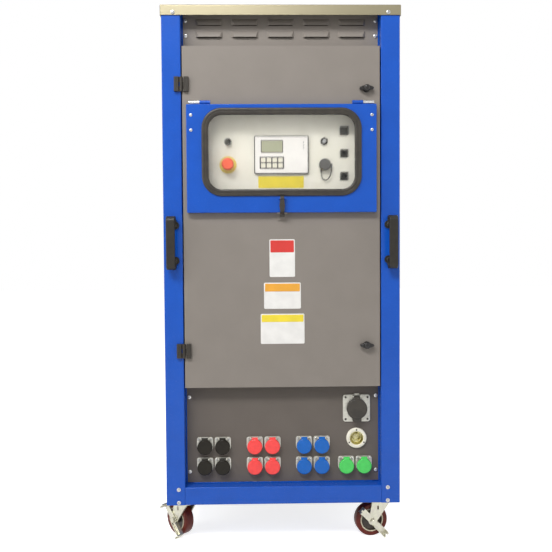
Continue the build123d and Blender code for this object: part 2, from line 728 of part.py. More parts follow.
def cam_receptacles():
    """All fourteen cam sockets."""
    return group(*[piece for x, z in cam_places().values() for piece in cam_receptacle(x, z)])


def flip_lid(barrel_r, barrel_out, thickness, skirt, wall, axis_rise, axis_out, rim):
    """Domed lid on a barrel: the barrel's middle is the origin and the panel's face is y = 0."""
    radius = barrel_r + LID_CLEARANCE + wall
    axis_up = barrel_r + axis_rise
    back = -barrel_out + skirt
    front = back - thickness
    lid = across(0, 0, 0, radius, front, back)
    lid = fillet(lid.edges().sort_by(Axis.Y)[0], rim)
    lid -= across(0, 0, 0, barrel_r + LID_CLEARANCE, -barrel_out - LID_SEAT, back + 1)
    half = LID_TAB_W / 2
    root = radius - wall - LID_FLARE
    neck = axis_up - LID_KNUCKLE_R - LID_SIDE_PLAY
    flared = half + LID_FLARE
    tab = Polyline(
        (-flared, root), (flared, root), (half, neck), (half, axis_up), (-half, axis_up), (-half, neck), close=True
    )
    arm = Pos(0, front + 2 * LID_TAB_T, 0) * extrude(Plane.XZ * make_face(tab), LID_TAB_T)
    arm += block(-half, half, front + LID_TAB_T, -axis_out, axis_up - LID_KNUCKLE_R, axis_up)
    lid += arm - across(0, 0, 0, radius - wall, front - 1, back + 1)
    lid += along_x(-half, half, -axis_out, axis_up, LID_KNUCKLE_R)
    return lid - along_x(-LID_TAB_W, LID_TAB_W, -axis_out, axis_up, LID_PIN_R + RUNNING_FIT)


def cam_lid(x, z):
    """Snap lid of one cam socket."""
    lid = flip_lid(
        CAM_BARREL_R, CAM_BARREL_OUT, LID_T, LID_SKIRT, LID_WALL, LID_AXIS_RISE, LID_AXIS_OUT, LID_RIM_R
    )
    return Pos(x, PANEL_FACE_Y, z) * lid


def outlet_body():
    """Square plate of the auxiliary outlet with the ears and pin of its lid, its barrel and its rear plug."""
    face = PANEL_FACE_Y
    plate = facing(OUTLET_SIDE, OUTLET_SIDE, 8, OUTLET_X, OUTLET_Z, face - OUTLET_T, face)
    low, high = (OUTLET_Z + up for up in BRACKET_UP)
    half = BRACKET_W / 2
    plate += block(OUTLET_X - half, OUTLET_X + half, face - OUTLET_T - BRACKET_T, face - OUTLET_T / 2, low, high)
    plate += lid_hinge(OUTLET_X, OUTLET_Z, OUTLET_AXIS_OUT, OUTLET_AXIS_UP)
    plate -= across(OUTLET_X, face, OUTLET_Z, OUTLET_BARREL_R + FLANGE_PLAY, -OUTLET_BARREL_OUT, 1)
    barrel = across(OUTLET_X, face, OUTLET_Z, OUTLET_BARREL_R, -OUTLET_BARREL_OUT, OUTLET_DEPTH)
    barrel -= across(OUTLET_X, face, OUTLET_Z, OUTLET_BORE_R, -OUTLET_BARREL_OUT - 1, OUTLET_DEPTH + 1)
    plug = across(OUTLET_X, face, OUTLET_Z, OUTLET_BORE_R, OUTLET_DEPTH - OUTLET_PLUG_T, OUTLET_DEPTH - PLUG_SUNK)
    return group(plate, barrel, plug)


def outlet_lid():
    """Round flip lid of the auxiliary outlet."""
    lid = flip_lid(
        OUTLET_BARREL_R,
        OUTLET_BARREL_OUT,
        OUTLET_LID_T,
        OUTLET_SKIRT,
        OUTLET_LID_WALL,
        OUTLET_AXIS_RISE,
        OUTLET_AXIS_OUT,
        OUTLET_RIM_R,
    )
    back = OUTLET_SKIRT - OUTLET_BARREL_OUT
    top = LID_TAB_T - OUTLET_BARREL_R
    centre_z = (top - OUTLET_LUG_DOWN) / 2
    lug = facing(OUTLET_LUG_W, top + OUTLET_LUG_DOWN, OUTLET_LUG_R, 0, centre_z, back - OUTLET_LID_T + LID_TAB_T, back)
    lid += lug - across(0, 0, 0, OUTLET_BARREL_R + LID_CLEARANCE, -OUTLET_BARREL_OUT - LID_SEAT, 0)
    return Pos(OUTLET_X, PANEL_FACE_Y, OUTLET_Z) * lid


def power_inlet():
    """Round flange and sleeve, the floor of its recess, and three curved locking blades."""
    face = PANEL_FACE_Y
    flange = across(INLET_X, face, INLET_Z, INLET_R, -INLET_T, 0)
    flange = fillet(flange.edges().sort_by(Axis.Y)[0], INLET_EDGE)
    flange += across(INLET_X, face, INLET_Z, INLET_BORE_R + INLET_WALL, 0, INLET_DEPTH)
    flange -= across(INLET_X, face, INLET_Z, INLET_BORE_R, -INLET_T - 1, INLET_DEPTH + 1)
    floor_y = INLET_DEPTH - INLET_FLOOR_T
    floor = across(INLET_X, face, INLET_Z, INLET_BORE_R, floor_y, INLET_DEPTH - PLUG_SUNK)
    ring = Circle(INLET_BLADE_R + INLET_BLADE_T / 2) - Circle(INLET_BLADE_R - INLET_BLADE_T / 2)
    blades = []
    for start in (60, 180, 300):
        rays = [(2 * INLET_R * cos(radians(a)), 2 * INLET_R * sin(radians(a))) for a in (start, start + INLET_BLADE_ARC)]
        wedge = make_face(Polyline((0, 0), *rays, close=True))
        blade = extrude(Plane.XZ * (ring & wedge), floor_y + INLET_BLADE_OUT)
        blades.append(Pos(INLET_X, face + floor_y, INLET_Z) * blade)
    return group(flange, floor, *blades)


# ------------------------------------------------------------------ grab handles
def grab_handle():
    """Moulded bridge: a round-edged bar bent down to two feet turned inward, each with a lug for its screw."""
    half = HANDLE_L / 2
    sunk = HANDLE_T / 2
    end = half - sunk
    line = FilletPolyline(
        (0, -sunk, HANDLE_FOOT - half),
        (0, -sunk, -end),
        (0, sunk - HANDLE_OUT, -end),
        (0, sunk - HANDLE_OUT, end),
        (0, -sunk, end),
        (0, -sunk, half - HANDLE_FOOT),
        radius=HANDLE_R,
    )
    section = Plane(origin=line @ 0, x_dir=(1, 0, 0), z_dir=line % 0) * RectangleRounded(
        HANDLE_W, HANDLE_T, HANDLE_EDGE
    )
    handle = sweep(section, path=line)
    for up in (HANDLE_LUG_UP - half, half - HANDLE_LUG_UP):
        handle += across(HANDLE_LUG_IN, 0, up, HANDLE_LUG_R, -HANDLE_LUG_T, 0)
    return handle


def grab_handles():
    """One handle on each front post."""
    handle = Pos(-HANDLE_X, FRONT, HANDLE_Z) * grab_handle()
    return group(handle, mirrored(handle))


# ------------------------------------------------------------------ main door
def main_door():
    """Pan with turned-in edges, a flanged control opening and two stiffening ribs."""
    half = DOOR_W / 2
    back = FRONT + DOOR_DEPTH
    pan = block(-half, half, FRONT, back, DOOR_BOTTOM, DOOR_TOP)
    pan = fillet(pan.edges().filter_by(Axis.Z).group_by(Axis.Y)[0], BEND_R)
    pan -= block(
        PANEL_SHEET - half,
        half - PANEL_SHEET,
        FRONT + PANEL_SHEET,
        back + 1,
        DOOR_BOTTOM + PANEL_SHEET,
        DOOR_TOP - PANEL_SHEET,
    )
    wide = OPENING_W + 2 * PANEL_SHEET
    tall = OPENING_H + 2 * PANEL_SHEET
    pan += facing(wide, tall, 8, 0, OPENING_Z, FRONT + PANEL_SHEET, PLATE_Y)
    pan -= facing(OPENING_W, OPENING_H, 6, 0, OPENING_Z, FRONT - 1, PLATE_Y + 1)
    for x in (-half / 2, half / 2):
        low = DOOR_BOTTOM + DOOR_RIB_W
        high = OPENING_Z - OPENING_H / 2 - DOOR_RIB_W
        rib = block(x - DOOR_RIB_W / 2, x + DOOR_RIB_W / 2, FRONT + PANEL_SHEET, FRONT + DOOR_RIB_D, low, high)
        pan += rib - Pos(0, -PANEL_SHEET, 0) * block(
            x - DOOR_RIB_W / 2 + PANEL_SHEET,
            x + DOOR_RIB_W / 2 - PANEL_SHEET,
            FRONT + PANEL_SHEET,
            FRONT + DOOR_RIB_D,
            low - 1,
            high + 1,
        )
    for z in LATCH_Z.values():
        pan -= across(LATCH_X, FRONT, z, LATCH_SHAFT_R + RUNNING_FIT, -1, 2 * PANEL_SHEET)
    return pan


def hinge_half(z, side):
    """One half of a surface hinge: side is -1 on the post and 1 on the door."""
    inner = side * KNUCKLE_CLEAR
    outer = side * HINGE_HALF_W
    low, high = z - HINGE_H / 2, z + HINGE_H / 2
    leaf = block(min(inner, outer), max(inner, outer), FRONT - HINGE_T, FRONT, low, high)
    leaf = fillet(leaf.edges().filter_by(Axis.Z).group_by(Axis.Y)[0], 2)
    face = FRONT - HINGE_T
    for place in HINGE_GROOVES:
        groove = Box(HINGE_GROOVE_W, 2 * HINGE_GROOVE_D, HINGE_H - 8)
        leaf -= Pos(side * place, face, z) * groove
    leaf = Pos(HINGE_X, 0, 0) * leaf
    third = HINGE_H / 3
    spans = [(low + third + 0.3, high - third - 0.3)] if side > 0 else [(low, low + third), (high - third, high)]
    for z0, z1 in spans:
        knuckle = Pos(HINGE_X, HINGE_Y, (z0 + z1) / 2) * Cylinder(KNUCKLE_R, z1 - z0)
        web = block(min(inner, 0), max(inner, 0), HINGE_Y + 0.5, FRONT - 0.5, z0, z1)
        leaf += knuckle + Pos(HINGE_X, 0, 0) * web
    if side > 0:
        return leaf - Pos(HINGE_X, HINGE_Y, z) * Cylinder(HINGE_PIN_R + RUNNING_FIT, HINGE_H)
    return leaf + Pos(HINGE_X, HINGE_Y, z) * Cylinder(HINGE_PIN_R, HINGE_H)


def latch_knob(z):
    """Wing knob, its shaft through the door and the tongue behind. Turned a quarter, the tongue locks."""
    tips = [Pos(side * (WING_L / 2 - WING_TIP_R), 0) * Circle(WING_TIP_R) for side in (-1, 1)]
    outline = make_hull(Circle(WING_HUB_R).edges() + tips[0].edges() + tips[1].edges())
    wing = Pos(0, -4, 0) * extrude(Plane.XZ * outline, WING_OUT - 4)
    wing = fillet(wing.faces().sort_by(Axis.Y)[0].edges(), WING_EDGE)
    knob = wing + across(0, 0, 0, LATCH_BASE_R, -4.5, -0.5)
    reach = FRONT_LIP + FRAME_SHEET + TONGUE_GAP + TONGUE_T
    knob += across(0, 0, 0, LATCH_SHAFT_R, -1, reach)
    tongue = block(-TONGUE_W / 2, TONGUE_W / 2, reach - TONGUE_T, reach, -TONGUE_W / 2, TONGUE_L)
    return Pos(LATCH_X, FRONT, z) * (knob + tongue)


# ------------------------------------------------------------------ control plate and what it carries
def control_plate():
    """Recessed plate behind the control opening, cut out for what it carries."""
    wide = OPENING_W + 2 * PLATE_MARGIN
    tall = OPENING_H + 2 * PLATE_MARGIN
    plate = facing(wide, tall, 4, 0, OPENING_Z, PLATE_Y, PLATE_Y + PANEL_SHEET)
    through = 3 * PANEL_SHEET
    plate -= Pos(0, PLATE_Y, CONTROLLER_Z) * Box(CONTROLLER_BODY_W, through, CONTROLLER_BODY_H)
    plate -= across(SELECTOR_X, PLATE_Y, SELECTOR_Z, SELECTOR_KNOB_R, -1, through)
    plate -= across(STOP_X, PLATE_Y, STOP_Z, STOP_BORE_R + 2, -1, through)
    plate -= across(REMOTE_X, PLATE_Y, REMOTE_Z, REMOTE_R - 2, -1, through)
    plate -= across(PORT_X, PLATE_Y, PORT_Z, PORT_BASE_R - 2, -1, through)
    for up in (*SOCKET_UP, BLANK_UP):
        plate -= across(SOCKET_X, PLATE_Y, OPENING_Z + up, SOCKET_BORE_R + 1, -1, through)
    return plate


def controller():
    """Panel-mounted controller: round-edged front, sunk screen, and a body behind the plate."""
    front = facing(
        CONTROLLER_W, CONTROLLER_H, 5, 0, CONTROLLER_Z, PLATE_Y - CONTROLLER_FRONT, PLATE_Y
    )
    front = fillet(front.faces().sort_by(Axis.Y)[0].edges(), 2)
    body = Pos(0, PLATE_Y + CONTROLLER_BODY_D / 2, CONTROLLER_Z) * Box(
        CONTROLLER_BODY_W - 1, CONTROLLER_BODY_D, CONTROLLER_BODY_H - 1
    )
    face = CONTROLLER_FACE_Y
    wide, tall = CONTROLLER_W - 2 * BEZEL_W, CONTROLLER_H - 2 * BEZEL_W
    front -= facing(wide, tall, 2.5, 0, CONTROLLER_Z, face - 2, face)
    screen = facing(SCREEN_W, SCREEN_H, 2, SCREEN_X, SCREEN_Z, face - 1, face + 2)
    pad = facing(KEYPAD_W, KEYPAD_H, 2, KEYPAD_X, KEYPAD_Z, face - 1, face + 1.5)
    return front + body - screen - pad


def controller_keypad():
    """One moulded mat: a thin base with eight raised keys."""
    face = CONTROLLER_FACE_Y
    mat = facing(KEYPAD_W, KEYPAD_H, 2, KEYPAD_X, KEYPAD_Z, face + 0.3, face + 1.5)
    for place in GridLocations(KEY_PITCH_X, KEY_PITCH_Z, KEY_COLUMNS, KEY_ROWS):
        x, z = place.position.X + KEYPAD_X, place.position.Y + KEYPAD_Z
        mat += facing(KEY_W, KEY_W, 2, x, z, face - KEY_OUT, face + 1)
    return mat


def square_socket(z):
    """Round socket on a square flange."""
    body = facing(SOCKET_SIDE, SOCKET_SIDE, 2.5, SOCKET_X, z, PLATE_Y - 2.5, PLATE_Y)
    body += across(SOCKET_X, PLATE_Y, z, SOCKET_BORE_R + 2, -5, 0)
    body += across(SOCKET_X, PLATE_Y, z, SOCKET_BORE_R + 1, 0, 20)
    return body - across(SOCKET_X, PLATE_Y, z, SOCKET_BORE_R, -6, 17)


def blanking_cover():
    """Square cover with a shallow sunk face, and the plug that fills its hole."""
    z = OPENING_Z + BLANK_UP
    cover = facing(BLANK_SIDE, BLANK_SIDE, 2, SOCKET_X, z, PLATE_Y - BLANK_OUT, PLATE_Y)
    sunk = BLANK_SIDE - 2 * BLANK_RIM
    cover -= facing(sunk, sunk, 1, SOCKET_X, z, PLATE_Y - BLANK_OUT - 1, PLATE_Y - BLANK_OUT + 1)
    return cover + across(SOCKET_X, PLATE_Y, z, SOCKET_BORE_R + 1, 0, 2 * PANEL_SHEET)


def remote_socket():
    """Six-sided socket for the remote control."""
    hexagon = Plane.XZ * RegularPolygon(REMOTE_R, 6)
    socket = Pos(REMOTE_X, PLATE_Y, REMOTE_Z) * extrude(hexagon, 5)
    socket += across(REMOTE_X, PLATE_Y, REMOTE_Z, REMOTE_R - 3, -9, 20)
    return socket - across(REMOTE_X, PLATE_Y, REMOTE_Z, REMOTE_R - 5, -10, 14)


def tether_point(n):
    """One point of the tether's route."""
    x, y, z = TETHER_ROUTE[n]
    return (PORT_X + x, PLATE_Y + y, PORT_Z + z)


def data_port():
    """Round port under the soft cap, with the lug below the cap that the tether hangs from."""
    port = across(PORT_X, PLATE_Y, PORT_Z, PORT_BASE_R + 2, -PORT_FLANGE_T, 0)
    port += across(PORT_X, PLATE_Y, PORT_Z, PORT_BASE_R - 2.5, -PORT_BASE_OUT, 20)
    x, y, z = tether_point(-1)
    half = TETHER_R + LUG_WALL
    port += block(x - half, x + half, PLATE_Y - PORT_FLANGE_T, PLATE_Y, z, PORT_Z)
    port += block(x - half, x + half, y - half, PLATE_Y, z, z + PORT_LUG_H)
    return port - across(PORT_X, PLATE_Y, PORT_Z, PORT_BASE_R - 5, -PORT_BASE_OUT - 1, 12)


def selector_bezel():
    """Round bezel and barrel of the selector."""
    bezel = across(SELECTOR_X, PLATE_Y, SELECTOR_Z, SELECTOR_BEZEL_R, -4, 0)
    bezel += across(SELECTOR_X, PLATE_Y, SELECTOR_Z, SELECTOR_KNOB_R, 0, 30)
    return bezel - across(SELECTOR_X, PLATE_Y, SELECTOR_Z, SELECTOR_BORE_R, -5, 12)


def stop_collar():
    """Collar and housing of the emergency stop."""
    collar = across(STOP_X, PLATE_Y, STOP_Z, STOP_COLLAR_R, -3, 0)
    collar += across(STOP_X, PLATE_Y, STOP_Z, STOP_GUARD_R, -STOP_GUARD_OUT, -3)
    collar += across(STOP_X, PLATE_Y, STOP_Z, STOP_BORE_R + 2, 0, 40)
    return collar - across(STOP_X, PLATE_Y, STOP_Z, STOP_BORE_R, -STOP_GUARD_OUT - 1, 30)


def panel_fittings():
    """Fixed fittings of the control plate."""
    sockets = [square_socket(OPENING_Z + up) for up in SOCKET_UP]
    return group(*sockets, blanking_cover(), remote_socket(), data_port(), selector_bezel(), stop_collar())


def connector_cap():
    """Soft cap that pulls off the data port, with a lug for its tether."""
    cap = across(PORT_X, PLATE_Y, PORT_Z, PORT_CAP_R, -PORT_CAP_OUT, -PORT_FLANGE_T - PORT_CAP_GAP)
    cap = fillet(cap.edges().sort_by(Axis.Y)[0], 3)
    x, y, z = tether_point(0)
    half = TETHER_R + LUG_WALL
    cap += block(PORT_X, x + half, y - half, y + half, z, PORT_Z + half)
    return cap - across(PORT_X, PLATE_Y, PORT_Z, PORT_BASE_R - 2.2, -PORT_BASE_OUT - 1, 0)


def corner_radii(route):
    """Radius at each corner of a route: as large as the two runs beside it allow."""
    points = [Vector(*p) for p in route]
    radii = []
    for before, here, after in zip(points, points[1:], points[2:]):
        run_in, run_out = here - before, after - here
        half_turn = radians(run_in.get_angle(run_out)) / 2
        radii.append(0.45 * min(run_in.length, run_out.length) / tan(half_turn))
    return radii


def cap_tether():
    """Soft cord from the cap's lug round to the port's lug."""
    points = [tether_point(n) for n in range(len(TETHER_ROUTE))]
    radii = corner_radii(points)
    print("bend radii of the tether:", [round(r, 1) for r in radii])
    path = FilletPolyline(*points, radius=radii)
    section = Plane(origin=path @ 0, z_dir=path % 0) * Circle(TETHER_R)
    return sweep(section, path=path)


def stop_button():
    """Red mushroom head on its stem."""
    head_back = -STOP_GUARD_OUT - STOP_HEAD_GAP - STOP_TRAVEL
    head = across(0, 0, 0, STOP_R, -STOP_OUT, head_back)
    head = fillet(head.edges().group_by(Axis.Y)[0], STOP_DOME_R)
    stem = across(0, 0, 0, STOP_STEM_R, head_back - 1, 20)
    return Pos(STOP_X, PLATE_Y, STOP_Z) * (head + stem)


def selector_knob():
    """Rotary knob with a raised grip bar and its stem."""
    knob = across(0, 0, 0, SELECTOR_KNOB_R, -11, -4.5)
    knob += Pos(0, -14, 0) * Box(5, 8, 2 * SELECTOR_KNOB_R - 1)
    knob += across(0, 0, 0, SELECTOR_STEM_R, -5, 10)
    return Pos(SELECTOR_X, PLATE_Y, SELECTOR_Z) * knob


# ------------------------------------------------------------------ flip cover
def flip_cover():
    """Folded cover with a round-cornered window and its halves of the lift-off hinges."""
    half = COVER_W / 2
    back = FRONT - COVER_GAP
    pan = block(-half, half, COVER_FACE_Y, back, COVER_BOTTOM, COVER_TOP)
    pan = fillet(pan.edges().filter_by(Axis.Y), BEND_R)
    pan = fillet(pan.faces().sort_by(Axis.Y)[0].edges(), COVER_SHEET)
    pan -= block(
        COVER_SHEET - half,
        half - COVER_SHEET,
        COVER_FACE_Y + COVER_SHEET,
        back + 1,
        COVER_BOTTOM + COVER_SHEET,
        COVER_TOP - COVER_SHEET,
    )
    edge = GASKET_W / 2
    pan -= facing(
        WINDOW_W + 2 * edge, WINDOW_H + 2 * edge, WINDOW_R + edge, 0, OPENING_Z, COVER_FACE_Y - 1, back
    )
    inner = COVER_HINGE_HALF / 2
    for x in (COVER_HINGE_X - inner - 0.25, inner + 0.25 - COVER_HINGE_X):
        low, high = x - inner + 0.25, x + inner - 0.25
        knuckle = along_x(low, high, COVER_AXIS_Y, COVER_AXIS_Z, COVER_HINGE_R)
        knuckle += block(
            low, high, COVER_AXIS_Y - 1.5, COVER_AXIS_Y + 1.5, COVER_TOP - COVER_SHEET, COVER_AXIS_Z
        )
        pan += knuckle
        pan -= along_x(low - 1, high + 1, COVER_AXIS_Y, COVER_AXIS_Z, COVER_PIN_R + RUNNING_FIT)
    pan += strap_ears()
    return pan


def cover_hinge_pins():
    """Door-side halves of the lift-off hinges: a barrel, a foot on the door and the pin."""
    halves = []
    half = COVER_HINGE_HALF / 2
    for side in (-1, 1):
        x = side * (COVER_HINGE_X + half)
        low, high = x - half, x + half
        barrel = along_x(low, high, COVER_AXIS_Y, COVER_AXIS_Z, COVER_HINGE_R)
        foot = block(
            low, high, COVER_AXIS_Y, FRONT, COVER_AXIS_Z + COVER_HINGE_R - 3, COVER_AXIS_Z + COVER_HINGE_R
        )
        end = x - side * (half + COVER_HINGE_HALF - 1)
        pin = along_x(min(x, end), max(x, end), COVER_AXIS_Y, COVER_AXIS_Z, COVER_PIN_R)
        halves.append(barrel + foot + pin)
    return group(*halves)


def window_gasket():
    """Rubber section round the window, gripping the cover's edge outside and the pane inside."""
    front = COVER_FACE_Y - GASKET_FRONT
    back = COVER_FACE_Y + COVER_SHEET + GASKET_BACK
    outer = facing(
        WINDOW_W + 2 * GASKET_W, WINDOW_H + 2 * GASKET_W, WINDOW_R + GASKET_W, 0, OPENING_Z, front, back
    )
    ring = outer - facing(WINDOW_W, WINDOW_H, WINDOW_R, 0, OPENING_Z, front - 1, back + 1)
    front_edges = ring.faces().sort_by(Axis.Y)[0].edges()
    ring = chamfer(front_edges, GASKET_FRONT / 2)
    edge = GASKET_W / 2
    slot = facing(
        WINDOW_W + 3 * GASKET_W,
        WINDOW_H + 3 * GASKET_W,
        WINDOW_R + 1.5 * GASKET_W,
        0,
        OPENING_Z,
        COVER_FACE_Y,
        COVER_FACE_Y + COVER_SHEET,
    )
    slot -= facing(
        WINDOW_W + 2 * edge,
        WINDOW_H + 2 * edge,
        WINDOW_R + edge,
        0,
        OPENING_Z,
        COVER_FACE_Y - 1,
        COVER_FACE_Y + COVER_SHEET + 1,
    )
    return ring - slot - pane_blank()


def pane_blank():
    """Solid of the clear pane, and of the groove that holds it."""
    return facing(
        WINDOW_W + 2 * PANE_GRIP,
        WINDOW_H + 2 * PANE_GRIP,
        WINDOW_R + PANE_GRIP,
        0,
        OPENING_Z,
        COVER_FACE_Y,
        COVER_FACE_Y + PANE_T,
    )


# ------------------------------------------------------------------ rubber draw latch
def strap_ears():
    """Bracket on the cover that holds the strap's pin."""
    ears = []
    gap = STRAP_NECK_W + 1
    for x in (gap / 2, -gap / 2 - STRAP_EAR_T):
        ear = block(
            x, x + STRAP_EAR_T, STRAP_AXIS_Y, COVER_FACE_Y + 1, STRAP_TOP - 4, STRAP_TOP + 4
        ) + along_x(x, x + STRAP_EAR_T, STRAP_AXIS_Y, STRAP_TOP, 4)
        ears.append(ear)
    half = gap / 2 + STRAP_EAR_T
    return ears[0] + ears[1] + along_x(-half, half, STRAP_AXIS_Y, STRAP_TOP, STRAP_PIN_R)


def cover_strap():
    """Rubber strap: a finger tab, an eye on the pin, a wider waist, and a bulb under the keeper's prongs."""
    bulb_y = FRONT - BULB_OUT
    half = STRAP_T / 2
    neck = STRAP_NECK_W / 2
    waist_z = STRAP_TOP - 22
    bend_z = BULB_Z + 11
    front = Polyline(
        (-neck, STRAP_TOP + STRAP_TAB),
        (-neck, STRAP_TOP - 6),
        (-STRAP_W / 2, waist_z),
        (-neck, bend_z),
        (-neck, BULB_Z),
        (neck, BULB_Z),
        (neck, bend_z),
        (STRAP_W / 2, waist_z),
        (neck, STRAP_TOP - 6),
        (neck, STRAP_TOP + STRAP_TAB),
        close=True,
    )
    outline = Pos(0, FRONT, 0) * extrude(Plane.XZ * make_face(front), 2 * STRAP_OUT)
    side = Polyline(
        (STRAP_AXIS_Y - half - 2, STRAP_TOP + STRAP_TAB),
        (STRAP_AXIS_Y - half, STRAP_TOP),
        (STRAP_AXIS_Y - half, bend_z),
        (bulb_y - half, BULB_Z),
        (bulb_y + half, BULB_Z),
        (STRAP_AXIS_Y + half, bend_z),
        (STRAP_AXIS_Y + half, STRAP_TOP),
        (STRAP_AXIS_Y, STRAP_TOP + STRAP_TAB),
        close=True,
    )
    run = Pos(-STRAP_W, 0, 0) * extrude(Plane.YZ * make_face(side), 2 * STRAP_W)
    bulb = along_x(-STRAP_W / 2 + 1.5, STRAP_W / 2 - 1.5, bulb_y, BULB_Z, BULB_R)
    eye = along_x(-neck, neck, STRAP_AXIS_Y, STRAP_TOP, 5)
    strap = (outline & run) + eye + bulb
    return strap - along_x(-STRAP_W, STRAP_W, STRAP_AXIS_Y, STRAP_TOP, STRAP_PIN_R + RUNNING_FIT)


def strap_keeper():
    """Fork on the door: a foot, and two prongs either side of the strap with the bulb below them."""
    prong_z = BULB_Z + BULB_R + 0.5
    foot = block(-KEEPER_W / 2, KEEPER_W / 2, FRONT - KEEPER_T, FRONT, BULB_Z - 14, prong_z + KEEPER_T)
    prongs = block(-KEEPER_W / 2, KEEPER_W / 2, FRONT - KEEPER_OUT, FRONT, prong_z, prong_z + KEEPER_T)
    slot = STRAP_NECK_W / 2 + 0.5
    return foot + prongs - block(-slot, slot, FRONT - 2 * KEEPER_OUT, FRONT - KEEPER_T, prong_z - 1, prong_z + 9)


# ------------------------------------------------------------------ castors
def top_plate():
    """Castor top plate with four slots, its top at z = 0."""
    plate = Pos(0, 0, -TOP_PLATE_T / 2) * Box(TOP_PLATE_W, TOP_PLATE_L, TOP_PLATE_T)
    plate = fillet(plate.edges().filter_by(Axis.Z), 6)
    slot = Pos(0, 0, -2 * TOP_PLATE_T) * extrude(SlotOverall(13, 8.5), 3 * TOP_PLATE_T)
    return plate - GridLocations(TOP_PLATE_W - 22, TOP_PLATE_L - 20, 2, 2) * slot


def swivel_mount():
    """Top plate, raceway and kingpin of a swivel castor, with the top of the plate at z = 0."""
    pin_low = -(CASTOR_H - CROWN_Z1) - CROWN_T - SWIVEL_GAP
    mount = top_plate() + Pos(0, 0, -TOP_PLATE_T - RACEWAY_T / 2) * Cylinder(RACEWAY_R, RACEWAY_T)
    mount += Pos(0, 0, (pin_low - 3 - TOP_PLATE_T) / 2) * Cylinder(KINGPIN_R, -pin_low + 3 - TOP_PLATE_T)
    return mount + Pos(0, 0, pin_low - 1.5) * Cylinder(KINGPIN_R + 4, 3)


def fork_leg(lead, top, half_top, narrower):
    """Outline of one fork leg: wide at the crown, round at the axle."""
    half = half_top - narrower
    crown = Pos(0, top - CROWN_T / 2) * Rectangle(2 * half, CROWN_T)
    boss = Pos(lead, WHEEL_R) * Circle(HUB_R - narrower)
    return Plane.XZ * make_hull(crown.edges() + boss.edges())


def fork_legs(lead, top, half_top):
    """Two slotted legs either side of the wheel, flanged along their edges above the hub."""
    leg = extrude(fork_leg(lead, top, half_top, 0), LEG_T)
    slot_x, slot_z = lead * 0.4, WHEEL_R + (top - WHEEL_R) * 0.6
    slot = Pos(slot_x, 4 * LEG_T, slot_z) * extrude(Plane.XZ * (Rot(0, 0, 90) * SlotOverall(LEG_SLOT_L, LEG_SLOT_W)), 8 * LEG_T)
    flange = extrude(fork_leg(lead, top, half_top, 0), LEG_T + LEG_FLANGE_T)
    flange -= extrude(fork_leg(lead, top, half_top, LEG_FLANGE_W), LEG_T + LEG_FLANGE_T)
    clear = HUB_R + LEG_FLANGE_W
    flange -= Pos(lead, 0, WHEEL_R) * Rot(90, 0, 0) * Cylinder(clear, 4 * WHEEL_W)
    near = Pos(0, -LEG_Y, 0) * (leg - slot) + Pos(0, LEG_FLANGE_T - LEG_Y, 0) * flange
    far = Pos(0, LEG_Y + LEG_T, 0) * (leg - slot + flange)
    hole = Pos(lead, 0, WHEEL_R) * Rot(90, 0, 0) * Cylinder(AXLE_R, 4 * WHEEL_W)
    return [near - hole, far - hole]


def axle_bolt(lead, packing):
    """Bolt through the legs and the hub: its head, and its nut beyond whatever is packed on the far leg."""
    grip = LEG_Y + LEG_T
    bolt = across(lead, 0, WHEEL_R, AXLE_R, -grip - AXLE_HEAD_T, grip + packing + AXLE_NUT_T + 1)
    bolt += across(lead, 0, WHEEL_R, AXLE_HEAD_R, -grip - AXLE_HEAD_T, -grip)
    nut = extrude(Plane.XZ * RegularPolygon(AXLE_NUT_R, 6), AXLE_NUT_T)
    return bolt + Pos(lead, grip + packing + AXLE_NUT_T, WHEEL_R) * nut


def swivel_fork(x, y, trail):
    """Crown, legs and axle bolt of a swivel castor whose wheel trails towards the given direction."""
    crown = Pos(0, 0, CROWN_Z1 - CROWN_T / 2) * Cylinder(CROWN_R, CROWN_T)
    fork = crown + fork_legs(SWIVEL_LEAD, CROWN_Z1, CROWN_R - 8)
    fork -= Pos(0, 0, CROWN_Z1) * Cylinder(KINGPIN_R + RUNNING_FIT, 4 * CROWN_T)
    place = Pos(x, y, 0) * Rot(0, 0, trail)
    return group(place * fork, place * axle_bolt(SWIVEL_LEAD, LEVER_T + 1))


def castor_wheel(x, y, trail, lead):
    """Iron core with a bored hub, and the tread bonded round it."""
    half = WHEEL_W / 2 - CORE_SUNK
    rim = WHEEL_R - TREAD_T
    web = WEB_T / 2
    hub_half = LEG_Y - HUB_GAP
    core = Polyline(
        (AXLE_R + RUNNING_FIT, -hub_half),
        (HUB_R - HUB_TAPER, -hub_half),
        (HUB_R, -web),
        (rim - RIM_ROOT, -web),
        (rim - RIM_LIP, -half),
        (rim, -half),
        (rim, half),
        (rim - RIM_LIP, half),
        (rim - RIM_ROOT, web),
        (HUB_R, web),
        (HUB_R - HUB_TAPER, hub_half),
        (AXLE_R + RUNNING_FIT, hub_half),
        close=True,
    )
    tread = Pos((rim + WHEEL_R) / 2, 0) * Rectangle(WHEEL_R - rim, WHEEL_W)
    tread = fillet(tread.vertices().sort_by(Axis.X)[-2:], TREAD_EDGE)
    turn = Rot(90, 0, 0)
    solids = [turn * revolve(make_face(core), Axis.Y), turn * revolve(tread, Axis.Y)]
    place = Pos(x, y, 0) * Rot(0, 0, trail) * Pos(lead, 0, WHEEL_R) * Rot(90, 0, 0)
    return group(*[place * s for s in solids])


